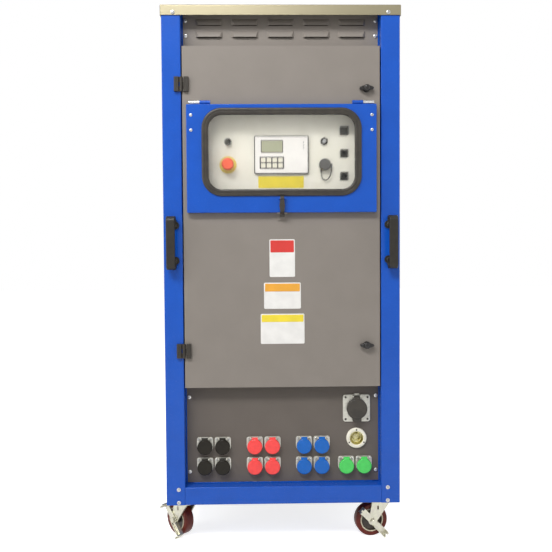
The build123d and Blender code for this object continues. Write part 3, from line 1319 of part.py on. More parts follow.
def brake_lever(x, y, trail):
    """Double-ended rocking lever beside the fork, with a pad turned outward at each end."""
    grip = LEG_Y + LEG_T + 0.5
    bar = extrude(Plane.XZ * RectangleRounded(LEVER_L, LEVER_W, LEVER_END_R), LEVER_T)
    lever = Pos(0, LEVER_T, 0) * bar
    rib_l = LEVER_L / 2 - AXLE_NUT_R - LEVER_T
    for side in (-1, 1):
        middle = rib_l / 2 - LEVER_L / 2
        edge = side * (LEVER_W - LEVER_RIB_T) / 2
        lever += Pos(middle, LEVER_T + LEVER_RIB_H / 2 - 1, edge) * Box(rib_l, LEVER_RIB_H + 2, LEVER_RIB_T)
    for side in (-1, 1):
        end = side * (LEVER_L / 2 - LEVER_T / 2)
        pad = Pos(end, LEVER_PAD / 2, 0) * Box(LEVER_T, LEVER_PAD, LEVER_W)
        pad -= Pos(end, LEVER_PAD, 0) * Box(2 * LEVER_T, 2 * LEVER_NOTCH_D, LEVER_NOTCH_W)
        lever += pad
    lever -= Rot(90, 0, 0) * Cylinder(AXLE_R + RUNNING_FIT, 4 * LEVER_PAD)
    place = Pos(x, y, 0) * Rot(0, 0, trail) * Pos(SWIVEL_LEAD, grip, WHEEL_R) * Rot(0, -LEVER_TILT, 0)
    return place * lever


def rigid_fork():
    """Fixed fork of a rear castor: its plate and legs are one pressing. The top is at z = CASTOR_H."""
    fork = Pos(0, 0, CASTOR_H) * Rot(0, 0, 90) * top_plate()
    fork += fork_legs(0, CASTOR_H, CROWN_R - 4)
    return fork


def castor_mounts():
    """Fixed castor steel: swivel mounts at the front, rigid forks and their bolts at the rear."""
    solids = []
    for side in (-1, 1):
        solids.append(Pos(side * SWIVEL_X, FRONT + SWIVEL_Y, CASTOR_H) * swivel_mount())
        rear = Pos(side * SWIVEL_X, BACK - SWIVEL_Y, 0) * Rot(0, 0, 90)
        solids.append(rear * rigid_fork())
        solids.append(rear * axle_bolt(0, 0))
    return group(*solids)


# ------------------------------------------------------------------ inside
def inner_bulkheads():
    """Upright sheet behind the control space, and the fan deck with its ring."""
    half = SIDE - SIDE_LIP - FRAME_SHEET
    y = BULKHEAD_FACE_Y
    wall = block(-half, half, y, y + PANEL_SHEET, RAIL_TOP, FRAME_Z1 - TOP_RAIL)
    rear = BACK - SIDE_LIP
    corner = POST_W + LIP_W
    deck = block(-half, half, y + PANEL_SHEET, BACK - corner, DECK_Z, DECK_Z + PANEL_SHEET)
    deck += block(corner - SIDE, SIDE - corner, BACK - corner, rear, DECK_Z, DECK_Z + PANEL_SHEET)
    bore = FAN_R + FAN_CLEARANCE
    ring = Pos(0, FAN_Y, DECK_Z + FAN_RING_H / 2) * Cylinder(bore + PANEL_SHEET, FAN_RING_H)
    deck = deck + ring - Pos(0, FAN_Y, DECK_Z) * Cylinder(bore, 4 * FAN_RING_H)
    return group(wall, deck)


def fan_motor():
    """Motor under the fan, on a four-armed spider below the deck."""
    top = DECK_Z - 12
    motor = Pos(0, FAN_Y, top - MOTOR_H / 2) * Cylinder(MOTOR_R, MOTOR_H)
    motor += Pos(0, FAN_Y, top + 15) * Cylinder(MOTOR_SHAFT_R, 30)
    reach = FAN_R + FAN_CLEARANCE + STRUT_W / 2
    arm = block(-reach, reach, -STRUT_W / 2, STRUT_W / 2, -STRUT_T, 0)
    spider = arm + Rot(0, 0, 90) * arm
    spider += Cylinder(MOTOR_R, STRUT_T, align=(Align.CENTER, Align.CENTER, Align.MAX))
    return motor + Pos(0, FAN_Y, DECK_Z) * spider


def fan_rotor():
    """Hub and pitched blades of the axial fan."""
    hub = Cylinder(FAN_HUB_R, FAN_HUB_H)
    root = Plane.YZ.offset(FAN_HUB_R - 8) * (Rot(0, 0, 32) * Rectangle(70, 3))
    tip = Plane.YZ.offset(FAN_R) * (Rot(0, 0, 18) * Rectangle(100, 2))
    blade = loft([root, tip])
    rotor = hub
    for n in range(FAN_BLADES):
        rotor += Rot(0, 0, 360 / FAN_BLADES * n) * blade
    rotor -= Cylinder(MOTOR_SHAFT_R + RUNNING_FIT, 4 * FAN_HUB_H)
    return Pos(0, FAN_Y, DECK_Z + FAN_HUB_H / 2 + 1) * rotor


def resistor_bank():
    """Two side channels carrying rows of tubular elements."""
    reach = SIDE - SIDE_LIP - FRAME_SHEET - RACK_X
    deep = RACK_Y1 - RACK_Y0
    side = folded_sheet([(-reach, deep), (0, deep), (0, 0), (-reach, 0)], PANEL_SHEET, RACK_Z1 - RACK_Z0)
    left = Pos(-RACK_X, RACK_Y0, RACK_Z0) * side
    solids = [left, mirrored(left)]
    step_z = (RACK_Z1 - RACK_Z0) / ELEMENT_LEVELS
    step_y = (RACK_Y1 - RACK_Y0) / ELEMENT_COLUMNS
    for level in range(ELEMENT_LEVELS):
        for column in range(ELEMENT_COLUMNS):
            z = RACK_Z0 + (level + 0.5) * step_z
            y = RACK_Y0 + (column + 0.5) * step_y
            solids.append(along_x(-RACK_X, RACK_X, y, z, ELEMENT_R))
    return group(*solids)


def contactor(x, z):
    """Stepped housing of one contactor on its rail."""
    y = BULKHEAD_FACE_Y - DIN_D
    half = CONTACTOR_H / 2
    profile = Polyline(
        (y, z - half),
        (y - 0.55 * CONTACTOR_D, z - half),
        (y - 0.55 * CONTACTOR_D, z - 0.55 * half),
        (y - CONTACTOR_D, z - 0.55 * half),
        (y - CONTACTOR_D, z + 0.55 * half),
        (y - 0.55 * CONTACTOR_D, z + 0.55 * half),
        (y - 0.55 * CONTACTOR_D, z + half),
        (y, z + half),
        close=True,
    )
    return Pos(x - CONTACTOR_W / 2, 0, 0) * extrude(Plane.YZ * make_face(profile), CONTACTOR_W)


def switchgear():
    """Two mounting rails, each with a row of contactors."""
    solids = []
    wall = BULKHEAD_FACE_Y
    pitch = CONTACTOR_W + 12
    for up in DIN_UP:
        z = DOOR_BOTTOM + up
        length = CONTACTORS * pitch + 40
        solids.append(block(-length / 2, length / 2, wall - DIN_D, wall, z - DIN_H / 2, z + DIN_H / 2))
        for n in range(CONTACTORS):
            solids.append(contactor((n - (CONTACTORS - 1) / 2) * pitch, z))
    return group(*solids)


# ------------------------------------------------------------------ screws
def screw(x, y, z):
    """Button head on a face that looks to the front."""
    head = Cone(SCREW_R, SCREW_TOP_R, SCREW_H, align=(Align.CENTER, Align.CENTER, Align.MIN))
    return Pos(x, y, z) * Rot(90, 0, 0) * head


def frame_screws():
    """Screws of the front: recessed panels, post feet and cap."""
    places = []
    for side in (-1, 1):
        x = side * (POST_INNER - PANEL_SCREW_INSET)
        places += [(x, PANEL_FACE_Y, z) for z in (DOOR_TOP + 41, CAP_Z0 - 3, RAIL_TOP + 36, DOOR_BOTTOM - 36.5)]
        places += [(side * (SIDE - FOOT_SCREW_INSET), FRONT, FRAME_Z0 + up) for up in (8, 48)]
        places.append((side * (SIDE - CAP_SCREW_INSET), FRONT - CAP_CLEARANCE - CAP_SHEET, CAP_Z0 + 8))
    return group(*[screw(*p) for p in places])


# ------------------------------------------------------------------ nodes
def nodes():
    """Every sub-part by name."""
    front_y = FRONT + SWIVEL_Y
    rear_y = BACK - SWIVEL_Y
    parts = {
        "corner_posts": corner_posts(),
        "frame_rails": frame_rails(),
        "top_cap": top_cap(),
        "exhaust_guard": exhaust_guard(),
        "louvre_panel": louvre_panel(),
        "connector_panel": connector_panel(),
        "outer_panels": outer_panels(),
        "inner_bulkheads": inner_bulkheads(),
        "resistor_bank": resistor_bank(),
        "fan_motor": fan_motor(),
        "fan_rotor": fan_rotor(),
        "switchgear": switchgear(),
        "grab_handles": grab_handles(),
        "frame_screws": frame_screws(),
        "cam_receptacles": cam_receptacles(),
        "outlet_body": outlet_body(),
        "outlet_lid": outlet_lid(),
        "power_inlet": power_inlet(),
        "castor_mounts": castor_mounts(),
        "hinge_post_halves": group(*[hinge_half(z, -1) for z in HINGE_Z]),
        "hinge_door_halves": group(*[hinge_half(z, 1) for z in HINGE_Z]),
        "main_door": main_door(),
        "control_plate": control_plate(),
        "controller": controller(),
        "controller_keypad": controller_keypad(),
        "panel_fittings": panel_fittings(),
        "connector_cap": connector_cap(),
        "cap_tether": cap_tether(),
        "stop_button": stop_button(),
        "selector_knob": selector_knob(),
        "cover_hinge_pins": cover_hinge_pins(),
        "flip_cover": flip_cover(),
        "window_pane": pane_blank(),
        "window_gasket": window_gasket(),
        "cover_strap": cover_strap(),
        "strap_keeper": strap_keeper(),
        "front_left_fork": swivel_fork(-SWIVEL_X, front_y, FRONT_LEFT_TRAIL),
        "front_right_fork": swivel_fork(SWIVEL_X, front_y, FRONT_RIGHT_TRAIL),
        "front_left_brake": brake_lever(-SWIVEL_X, front_y, FRONT_LEFT_TRAIL),
        "front_right_brake": brake_lever(SWIVEL_X, front_y, FRONT_RIGHT_TRAIL),
        "front_left_wheel": castor_wheel(-SWIVEL_X, front_y, FRONT_LEFT_TRAIL, SWIVEL_LEAD),
        "front_right_wheel": castor_wheel(SWIVEL_X, front_y, FRONT_RIGHT_TRAIL, SWIVEL_LEAD),
        "rear_left_wheel": castor_wheel(-SWIVEL_X, rear_y, 90, 0),
        "rear_right_wheel": castor_wheel(SWIVEL_X, rear_y, 90, 0),
    }
    for level, z in LATCH_Z.items():
        parts[f"{level}_latch_knob"] = latch_knob(z)
    for name, (x, z) in cam_places().items():
        parts[f"{name}_lid"] = cam_lid(x, z)
    return parts


os.makedirs("parts", exist_ok=True)
for name, shape in nodes().items():
    export_step(shape, f"parts/{name}.step")
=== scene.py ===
"""Looks of a portable generator load bank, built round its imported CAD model.

Metres, in the CAD model's own frame: X runs to the right, Y to the back and Z up. The origin is on the floor
under the middle of the cabinet. Shapes are worked out in millimetres, and scaled as they become meshes.
"""

import sys
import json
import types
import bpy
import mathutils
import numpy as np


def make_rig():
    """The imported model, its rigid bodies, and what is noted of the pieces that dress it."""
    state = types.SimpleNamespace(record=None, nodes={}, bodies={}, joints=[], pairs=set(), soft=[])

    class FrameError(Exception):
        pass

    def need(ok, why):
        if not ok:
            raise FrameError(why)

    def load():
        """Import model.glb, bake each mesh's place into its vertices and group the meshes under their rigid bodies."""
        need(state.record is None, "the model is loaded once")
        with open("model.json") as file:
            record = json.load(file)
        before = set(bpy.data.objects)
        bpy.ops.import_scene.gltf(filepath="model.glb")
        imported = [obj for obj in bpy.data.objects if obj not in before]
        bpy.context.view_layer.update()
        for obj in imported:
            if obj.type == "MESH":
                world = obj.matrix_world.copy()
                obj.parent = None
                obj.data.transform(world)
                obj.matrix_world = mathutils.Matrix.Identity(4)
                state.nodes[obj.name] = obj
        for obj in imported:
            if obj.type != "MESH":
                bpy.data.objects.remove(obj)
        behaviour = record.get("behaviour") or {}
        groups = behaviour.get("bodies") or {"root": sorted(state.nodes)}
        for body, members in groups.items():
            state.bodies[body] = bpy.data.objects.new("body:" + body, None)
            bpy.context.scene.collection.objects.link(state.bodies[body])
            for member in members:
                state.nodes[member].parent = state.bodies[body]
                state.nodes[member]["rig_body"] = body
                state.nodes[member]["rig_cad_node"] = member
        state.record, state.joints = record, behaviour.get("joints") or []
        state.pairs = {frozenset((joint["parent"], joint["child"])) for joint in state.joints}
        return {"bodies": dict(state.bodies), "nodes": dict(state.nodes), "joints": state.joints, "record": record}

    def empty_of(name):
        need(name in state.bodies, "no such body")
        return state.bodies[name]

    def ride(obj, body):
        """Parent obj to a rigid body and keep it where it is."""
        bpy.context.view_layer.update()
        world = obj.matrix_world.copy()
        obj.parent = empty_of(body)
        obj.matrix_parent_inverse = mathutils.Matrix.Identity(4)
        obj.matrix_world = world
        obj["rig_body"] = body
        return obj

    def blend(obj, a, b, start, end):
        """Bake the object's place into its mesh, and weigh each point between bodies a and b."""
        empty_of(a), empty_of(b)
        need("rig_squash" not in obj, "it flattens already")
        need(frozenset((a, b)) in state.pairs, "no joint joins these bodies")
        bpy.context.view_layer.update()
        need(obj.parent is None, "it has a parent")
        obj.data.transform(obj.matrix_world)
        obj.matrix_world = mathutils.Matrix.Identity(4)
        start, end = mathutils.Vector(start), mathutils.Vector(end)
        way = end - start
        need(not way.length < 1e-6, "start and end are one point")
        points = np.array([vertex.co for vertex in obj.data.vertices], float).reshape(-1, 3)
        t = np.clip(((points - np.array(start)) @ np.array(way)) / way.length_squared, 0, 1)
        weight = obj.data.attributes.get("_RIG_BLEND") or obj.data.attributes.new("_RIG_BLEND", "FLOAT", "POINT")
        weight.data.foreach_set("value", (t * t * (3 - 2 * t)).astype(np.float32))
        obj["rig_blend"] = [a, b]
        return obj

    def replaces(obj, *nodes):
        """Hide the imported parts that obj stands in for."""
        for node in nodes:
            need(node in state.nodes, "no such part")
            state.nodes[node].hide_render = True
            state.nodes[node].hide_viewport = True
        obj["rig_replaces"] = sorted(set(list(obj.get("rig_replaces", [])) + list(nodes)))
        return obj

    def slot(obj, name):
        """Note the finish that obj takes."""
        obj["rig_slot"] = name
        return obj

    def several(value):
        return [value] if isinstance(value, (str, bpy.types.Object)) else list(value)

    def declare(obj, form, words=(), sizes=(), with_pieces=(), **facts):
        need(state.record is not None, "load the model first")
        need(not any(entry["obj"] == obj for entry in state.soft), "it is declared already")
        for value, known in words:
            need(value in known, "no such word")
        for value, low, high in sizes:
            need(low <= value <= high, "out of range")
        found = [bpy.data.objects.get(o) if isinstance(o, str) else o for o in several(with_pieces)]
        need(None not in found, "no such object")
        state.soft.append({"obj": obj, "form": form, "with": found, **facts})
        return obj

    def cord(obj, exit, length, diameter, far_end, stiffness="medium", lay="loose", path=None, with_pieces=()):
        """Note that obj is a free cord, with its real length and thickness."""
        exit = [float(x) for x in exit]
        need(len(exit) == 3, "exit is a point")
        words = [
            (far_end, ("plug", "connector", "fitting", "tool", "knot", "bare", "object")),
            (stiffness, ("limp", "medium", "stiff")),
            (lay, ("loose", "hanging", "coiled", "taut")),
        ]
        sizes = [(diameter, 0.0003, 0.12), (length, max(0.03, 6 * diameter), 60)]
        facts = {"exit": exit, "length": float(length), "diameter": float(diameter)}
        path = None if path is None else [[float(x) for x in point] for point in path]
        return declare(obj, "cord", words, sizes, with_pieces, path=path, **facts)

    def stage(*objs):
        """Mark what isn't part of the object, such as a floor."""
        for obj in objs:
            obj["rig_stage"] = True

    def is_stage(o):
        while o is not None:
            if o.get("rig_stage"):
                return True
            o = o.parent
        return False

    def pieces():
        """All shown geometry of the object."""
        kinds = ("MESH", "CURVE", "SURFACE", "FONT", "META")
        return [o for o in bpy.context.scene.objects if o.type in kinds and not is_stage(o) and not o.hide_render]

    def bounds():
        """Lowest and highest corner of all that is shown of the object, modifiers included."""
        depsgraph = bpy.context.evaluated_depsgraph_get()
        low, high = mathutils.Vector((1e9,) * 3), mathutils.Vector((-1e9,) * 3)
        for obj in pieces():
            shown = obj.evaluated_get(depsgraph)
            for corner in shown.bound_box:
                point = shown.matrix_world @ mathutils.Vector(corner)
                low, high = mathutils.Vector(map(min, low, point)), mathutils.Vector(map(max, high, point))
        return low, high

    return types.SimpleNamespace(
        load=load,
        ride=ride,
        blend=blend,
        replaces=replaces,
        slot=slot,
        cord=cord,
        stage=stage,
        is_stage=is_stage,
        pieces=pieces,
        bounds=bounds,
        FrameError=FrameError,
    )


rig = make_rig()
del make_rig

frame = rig.load()
cad_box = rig.bounds()

import json
from math import radians

import bmesh
import bpy
import numpy as np
from bpy.props import FloatProperty, FloatVectorProperty, PointerProperty
from mathutils import Matrix, Vector

bl_info = {
    "name": "Load bank looks",
    "version": (1, 0, 0),
    "blender": (4, 5, 0),
    "location": "View3D > Sidebar > Load bank",
    "description": "Finishes, small fittings and stage for a portable generator load bank",
    "category": "Add Mesh",
}

MM = 0.001
MERGE = 1e-6  # doubles are this close
LEAST_RADIUS = 0.05  # millimetres that a plate's corner keeps
TURN = 2 * np.pi
FACING = ((1, 0, 0), (0, 0, 1), (0, -1, 0))  # across, up and out of a piece on the front
SIDEWAYS = ((0, -1, 0), (0, 0, 1), (1, 0, 0))  # the same for an ear that stands out of the front
LENGTHWISE = ((0, 1, 0), (0, 0, 1), (1, 0, 0))  # the same for a pad that runs along the cabinet's width

# Places that more than one piece shares, in millimetres. A pair is (x, z).
FRONT_Y = -355.5  # faces of the posts and of the door
COVER_FACE_Y = -375.5
PANEL_FACE_Y = -315.5
PLATE_Y = -325.5
CONTROLLER_FACE_Y = -333.7
SOCKET_COLUMNS = {
    "black": (-240.5, -185.9),
    "red": (-87.1, -32.5),
    "blue": (65.1, 119.7),
    "green": (195.5, 250.1),
}
LOWER_ROW, UPPER_ROW = 235.5, 299.0
SOCKET_ROWS = {
    "black": (LOWER_ROW, UPPER_ROW),
    "red": (LOWER_ROW, UPPER_ROW),
    "blue": (LOWER_ROW, UPPER_ROW),
    "green": (LOWER_ROW,),
}
OUTLET = (228.0, 413.5)
INLET = (227.5, 320.5)
CONTROLLER_Z = 1191.0

# Most of a noise lies near 0.5, so each use of it is stretched from a narrow range.
PATCH_DETAIL, PATCH_SPAN = 4.0, (0.35, 0.65)
GRAIN_DETAIL, GRAIN_SPAN = 2.0, (0.3, 0.7)
# Narrow range of the patch noise that sets how much of an edge takes its tone of wear and painted highlight.
RUB_SPAN = (0.4, 0.6)
RUB_SHARE = (0.2, 0.7)  # least and most share of an edge that takes the edge tone, which paints wear and a highlight
EDGE_LEAN = (0.99, 0.8)  # cosines of the lean at which an edge starts to take its edge tone of wear and painted highlight, and takes it fully
COAT_ROUGHNESS = 0.08


# ------------------------------------------------------------------ shapes
def grid_faces(rows, columns):
    """Quads between the neighbours of a grid of points. The last column joins the first."""
    row, column = np.mgrid[0 : rows - 1, 0:columns]
    here = row * columns + column
    beside = row * columns + (column + 1) % columns
    return np.stack([here, beside, beside + columns, here + columns], -1).reshape(-1, 4)


def skin(rings):
    """Closed skin over a (rings, points, 3) array. Each end ring is drawn in to its middle."""
    ends = [np.broadcast_to(rings[i].mean(0), rings[i].shape)[None] for i in (0, -1)]
    rings = np.concatenate([ends[0], rings, ends[1]])
    return rings.reshape(-1, 3), grid_faces(*rings.shape[:2])


def loop_skin(rings):
    """Skin over a (rings, points, 3) array whose last ring joins the first, as on a closed bead."""
    rings = np.concatenate([rings, rings[:1]])
    return rings.reshape(-1, 3), grid_faces(*rings.shape[:2])


def turned(profile, centre, axis=(0, -1, 0), segments=48, start=0.0, closed=False):
    """Solid of revolution: (radius, along) of the profile goes to centre + along * axis
    + radius * (cos t, sin t) in the plane across the axis, which is level. Where closed, the profile's last
    point runs back to its first, as on a ring."""
    axis = np.array(axis, float)
    side = np.cross(axis, (0, 0, 1))
    side = side / np.linalg.norm(side)
    t = start + np.linspace(0, TURN, segments, endpoint=False)[:, None]
    ring = np.cos(t) * side + np.sin(t) * np.cross(axis, side)
    radius, along = np.array(profile, float).T
    rings = np.array(centre) + along[:, None, None] * axis + radius[:, None, None] * ring
    return (loop_skin if closed else skin)(rings)


def outline(width, height, radius, steps=8):
    """Points and outward directions round a rounded rectangle: each corner's centre plus
    radius * (cos t, sin t). The radius may be a pair, for the upper and the lower corners."""
    t = (np.arange(4)[:, None] * TURN / 4 + np.linspace(0, TURN / 4, steps + 1)).ravel()
    out = np.stack([np.cos(t), np.sin(t)], -1)
    corner = np.repeat([[1, 1], [-1, 1], [-1, -1], [1, -1]], steps + 1, axis=0)
    radius = np.where(corner[:, 1] > 0, *np.broadcast_to(radius, 2))[:, None]
    return corner * ((width / 2, height / 2) - radius) + radius * out, out


def disc(radius, out):
    """Station of a loft that is a circle: a rounded rectangle whose corners meet."""
    return (2 * radius, 2 * radius, radius, out)


def lofted(stations, x, y, z, axes=FACING, closed=False, up=0.0):
    """Skin through rounded rectangles one in front of another, each (width, height, corner radius, out).
    Point for point, corner * (half side - radius) + radius * (cos t, sin t) is carried from each to the next,
    so a square plate runs into a round bore. Where closed, the last runs back into the first. Rectangles are
    up higher than circles."""
    rings = []
    for width, height, radius, out in stations:
        line = outline(width, height, radius)[0] + (0, up if np.min(radius) < width / 2 else 0)
        flat = np.concatenate([line, np.full((len(line), 1), out)], -1)
        rings.append(np.array((x, y, z)) + flat @ np.array(axes, float))
    return (loop_skin if closed else skin)(np.array(rings))


def plate(width, height, radius, steps, x, y, z, axes=FACING):
    """Round-cornered plate: at each (inset, out) its outline is drawn in by inset, and stands out along the
    last of the axes. One more outline, 1 mm further in, keeps its face flat up to the rounded edge."""
    steps = (*steps, (steps[-1][0] + 1, steps[-1][1]))
    stations = [(width - 2 * i, height - 2 * i, max(radius - i, LEAST_RADIUS), out) for i, out in steps]
    return lofted(stations, x, y, z, axes)


def bead(width, height, radius, profile, x, y, z):
    """Closed bead round a rounded rectangle: (across, out) of the profile goes across along the outline's
    outward direction, and out in front of y."""
    line, outward = outline(width, height, radius, 16)
    across, out = np.array(profile, float).T
    flat = line[:, None] + across[:, None] * outward[:, None]
    rings = np.stack([x + flat[..., 0], np.broadcast_to(y - out, flat.shape[:2]), z + flat[..., 1]], -1)
    return loop_skin(rings)


def screw_head(radius, x, y, z, turn=0.0):
    """Pan head with a cross recess, in shares of its radius: height = rim + dome * sqrt(1 - r * r), less the
    recess wherever either arm covers the point."""
    rim, dome, recess, arm_half, arm_reach = 0.3, 0.25, 0.3, 0.11, 0.55
    r = np.array([1.0, 1.0, 0.96, 0.86, 0.72, 0.6, 0.5, 0.4, 0.28, 0.16, 0.06])[:, None]
    t = np.linspace(0, TURN, 32, endpoint=False)
    a, b = r * np.cos(t), r * np.sin(t)
    foot = np.arange(len(r))[:, None] == 0
    height = np.where(foot, 0.0, rim + dome * np.sqrt(np.clip(1 - r**2, 0, 1)))
    cut = (np.minimum(np.abs(a), np.abs(b)) < arm_half) & (np.hypot(a, b) < arm_reach)
    height = np.broadcast_to(height, a.shape) - recess * cut
    a, b = a * np.cos(turn) - b * np.sin(turn), a * np.sin(turn) + b * np.cos(turn)
    return skin(np.stack([x - radius * a, y - radius * height, z + radius * b], -1))


def merged(mesh):
    """The mesh, made smooth. Its doubles are merged, which closes seams and poles, and then its faces are
    turned outwards."""
    work = bmesh.new()
    work.from_mesh(mesh)
    bmesh.ops.remove_doubles(work, verts=work.verts, dist=MERGE)
    bmesh.ops.recalc_face_normals(work, faces=work.faces)
    work.to_mesh(mesh)
    work.free()
    mesh.shade_smooth()
    return mesh


def linked(name, data):
    """Object that shows the data, linked into the scene."""
    made = bpy.data.objects.new(name, data)
    bpy.context.scene.collection.objects.link(made)
    return made


def piece(name, skins, finish, body, sharp=35):
    """One object from its skins, given in millimetres. It rides on that body."""
    starts = np.cumsum([0] + [len(points) for points, _ in skins[:-1]])
    points = MM * np.concatenate([points for points, _ in skins])
    faces = np.concatenate([faces + start for (_, faces), start in zip(skins, starts)])
    mesh = bpy.data.meshes.new(name)
    mesh.from_pydata(points.tolist(), [], faces.tolist())
    merged(mesh).set_sharp_from_angle(angle=radians(sharp))
    mesh.materials.append(material(finish))
    made = linked(name, mesh)
    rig.slot(made, RECORD_SLOTS[finish])
    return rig.ride(made, body)


# ------------------------------------------------------------------ finishes
def linear(code):
    """Linear RGB of an sRGB hex value, with an alpha of 1."""
    value = np.array([int(code[i : i + 2], 16) for i in (0, 2, 4)]) / 255
    rgb = np.where(value <= 0.04045, value / 12.92, ((value + 0.055) / 1.055) ** 2.4)
    return (*rgb.tolist(), 1.0)


def add(tree, kind, inputs=(), **settings):
    """Adds a node. inputs maps a socket's name or number to its value, or to the output that it is linked
    from, and a plain row fills the first sockets. A Mix node's two colours are its sockets 6 and 7."""
    node = tree.nodes.new(kind)
    for key, value in settings.items():
        setattr(node, key, value)
    for socket, value in inputs.items() if isinstance(inputs, dict) else enumerate(inputs):
        if isinstance(value, bpy.types.NodeSocket):
            tree.links.new(value, node.inputs[socket])
        else:
            node.inputs[socket].default_value = value
    return node


def noise(tree, place, size_mm, detail, stretch):
    """Noise whose blotches are size_mm across, drawn out along an axis where stretch is under 1."""
    moved = add(tree, "ShaderNodeMapping", {0: place, 3: stretch}).outputs[0]
    inputs = {"Vector": moved, "Scale": 1 / (size_mm * MM), "Detail": detail}
    return add(tree, "ShaderNodeTexNoise", inputs).outputs[0]


def worn_edges(tree, width_mm):
    """1 along edges and 0 on flat faces: how far the bevelled normal leans from the face's own. This mask places
    the edge tone, which paints wear and a highlight. The bevelled normal comes second."""
    bevel = add(tree, "ShaderNodeBevel", {0: width_mm * MM}, samples=4).outputs[0]
    own = add(tree, "ShaderNodeNewGeometry").outputs["Normal"]
    lean = add(tree, "ShaderNodeVectorMath", (bevel, own), operation="DOT_PRODUCT").outputs["Value"]
    return add(tree, "ShaderNodeMapRange", (lean, *EDGE_LEAN, 0.0, 1.0)).outputs[0], bevel


def finish(
    name,
    tone,
    second,
    patch_mm,
    grain_mm,
    grain_height_mm,
    rough,
    metallic=0.0,
    coat=0.0,
    ior=1.5,
    stretch=(1, 1, 1),
    edge=None,
    edge_mm=0.6,
    specular=0.5,
):
    """One surface: two tones mixed by soft patches, a grain that lifts it, and roughness between two values.
    Where an edge tone is given, edges take it in patches: partly wear where the coating is thin, partly a painted
    highlight along the edge."""
    made = bpy.data.materials.new(name)
    made.use_nodes = True
    tree = made.node_tree
    shader = tree.nodes["Principled BSDF"]
    place = add(tree, "ShaderNodeTexCoord").outputs["Object"]
    patches = noise(tree, place, patch_mm, PATCH_DETAIL, stretch)
    grain = noise(tree, place, grain_mm, GRAIN_DETAIL, stretch)
    mottle = add(tree, "ShaderNodeMapRange", (patches, *PATCH_SPAN, 0, 1)).outputs[0]
    pair = {0: mottle, 6: linear(tone), 7: linear(second)}
    colour = add(tree, "ShaderNodeMix", pair, data_type="RGBA").outputs[2]
    rubbed, rounded = worn_edges(tree, edge_mm)
    # Edges take the edge tone in patches: wear, and a painted highlight that stands in for light on rounded edges.
    if edge:
        rub = add(tree, "ShaderNodeMapRange", (patches, *RUB_SPAN, *RUB_SHARE)).outputs[0]
        worn = add(tree, "ShaderNodeMath", (rubbed, rub), operation="MULTIPLY").outputs[0]
        pair = {0: worn, 6: colour, 7: linear(edge)}
        colour = add(tree, "ShaderNodeMix", pair, data_type="RGBA").outputs[2]
    lift = {"Height": grain, "Normal": rounded, "Distance": grain_height_mm * MM}
    bump = add(tree, "ShaderNodeBump", lift).outputs[0]
    roughness = add(tree, "ShaderNodeMapRange", (grain, *GRAIN_SPAN, *rough)).outputs[0]
    tree.links.new(colour, shader.inputs["Base Color"])
    tree.links.new(roughness, shader.inputs["Roughness"])
    tree.links.new(bump, shader.inputs["Normal"])
    shader.inputs["Metallic"].default_value = metallic
    shader.inputs["Specular IOR Level"].default_value = specular
    shader.inputs["Coat Weight"].default_value = coat
    shader.inputs["Coat Roughness"].default_value = COAT_ROUGHNESS
    if not metallic:
        shader.inputs["IOR"].default_value = ior
    return made


def cells(tree, size_mm, randomness=1.0):
    """Outputs of a pattern of cells that are size_mm across, in straight rows where randomness is 0."""
    place = add(tree, "ShaderNodeTexCoord").outputs["Object"]
    inputs = {"Vector": place, "Scale": 1 / (size_mm * MM), "Randomness": randomness}
    return add(tree, "ShaderNodeTexVoronoi", inputs).outputs


def recoloured(made, factor, first, second):
    """The same surface, with its colour between two tones by that factor."""
    tree = made.node_tree
    pair = {0: factor, 6: linear(first), 7: linear(second)}
    colour = add(tree, "ShaderNodeMix", pair, data_type="RGBA").outputs[2]
    tree.links.new(colour, tree.nodes["Principled BSDF"].inputs["Base Color"])
    return made


def blue_powder_coat(name):
    """Gloss polyester powder on sheet steel: a faint orange peel breaks up its reflections, and its folds take a
    paler tone, a painted highlight."""
    # Paler blue along the folds: painted highlight.
    edge = {"edge": "4A7CDC", "edge_mm": 0.8}
    return finish(name, "1252B8", "114FB2", 60, 2.2, 0.02, (0.18, 0.28), specular=0.3, **edge)


def grey_powder_coat(name):
    """Fine-texture polyester powder on door and skins: a sandy grain of 0.8 mm, drawn at 1.6 mm to show."""
    return finish(name, "878079", "847D76", 90, 1.6, 0.05, (0.42, 0.56), edge="A8A19A", specular=0.25)


def dark_powder_coat(name):
    """The same powder on the recessed connector panel, made darker: painted shade of the recess under the door."""
    return finish(name, "68615B", "655E58", 80, 1.6, 0.05, (0.42, 0.56), edge="8A827B", specular=0.2)


def brushed_stainless(name):
    """Stainless sheet brushed along the cabinet's width: long streaks about 0.5 mm wide."""
    return finish(name, "8E8770", "8B846D", 40, 0.5, 0.006, (0.3, 0.4), metallic=1.0, stretch=(0.01, 1, 1))


def zinc_plate(name):
    """Bright zinc plating on pressed steel: silvery, with cloudy patches of about 6 mm."""
    return finish(name, "C8C8C6", "B4B4B4", 6, 0.8, 0.01, (0.22, 0.4), metallic=1.0)


def cast_zinc(name):
    """Die-cast zinc alloy, tumbled and lacquered: pale grey and satin, with a soft 1 mm grain."""
    return finish(name, "C8C6BC", "B9B7AD", 7, 1.0, 0.03, (0.34, 0.5), metallic=0.5, edge="E2E0D8")


def yellow_passivate(name):
    """Zinc plate with yellow chromate passivation: straw to pink sheen in patches of about 12 mm."""
    return finish(name, "C8C7B4", "BFBAAE", 12, 0.7, 0.012, (0.25, 0.42), metallic=0.85, edge="E0DDD0")


def galvanised_sheet(name):
    """Hot-dip galvanised sheet: flat crystals, or spangle, about 9 mm across, each of its own grey."""
    made = finish(name, "9DA0A2", "8D9092", 30, 0.8, 0.01, (0.35, 0.5), metallic=0.85)
    own = cells(made.node_tree, 9)["Color"]
    grey = add(made.node_tree, "ShaderNodeSeparateColor", (own,)).outputs[0]
    return recoloured(made, grey, "84878A", "AAADAF")


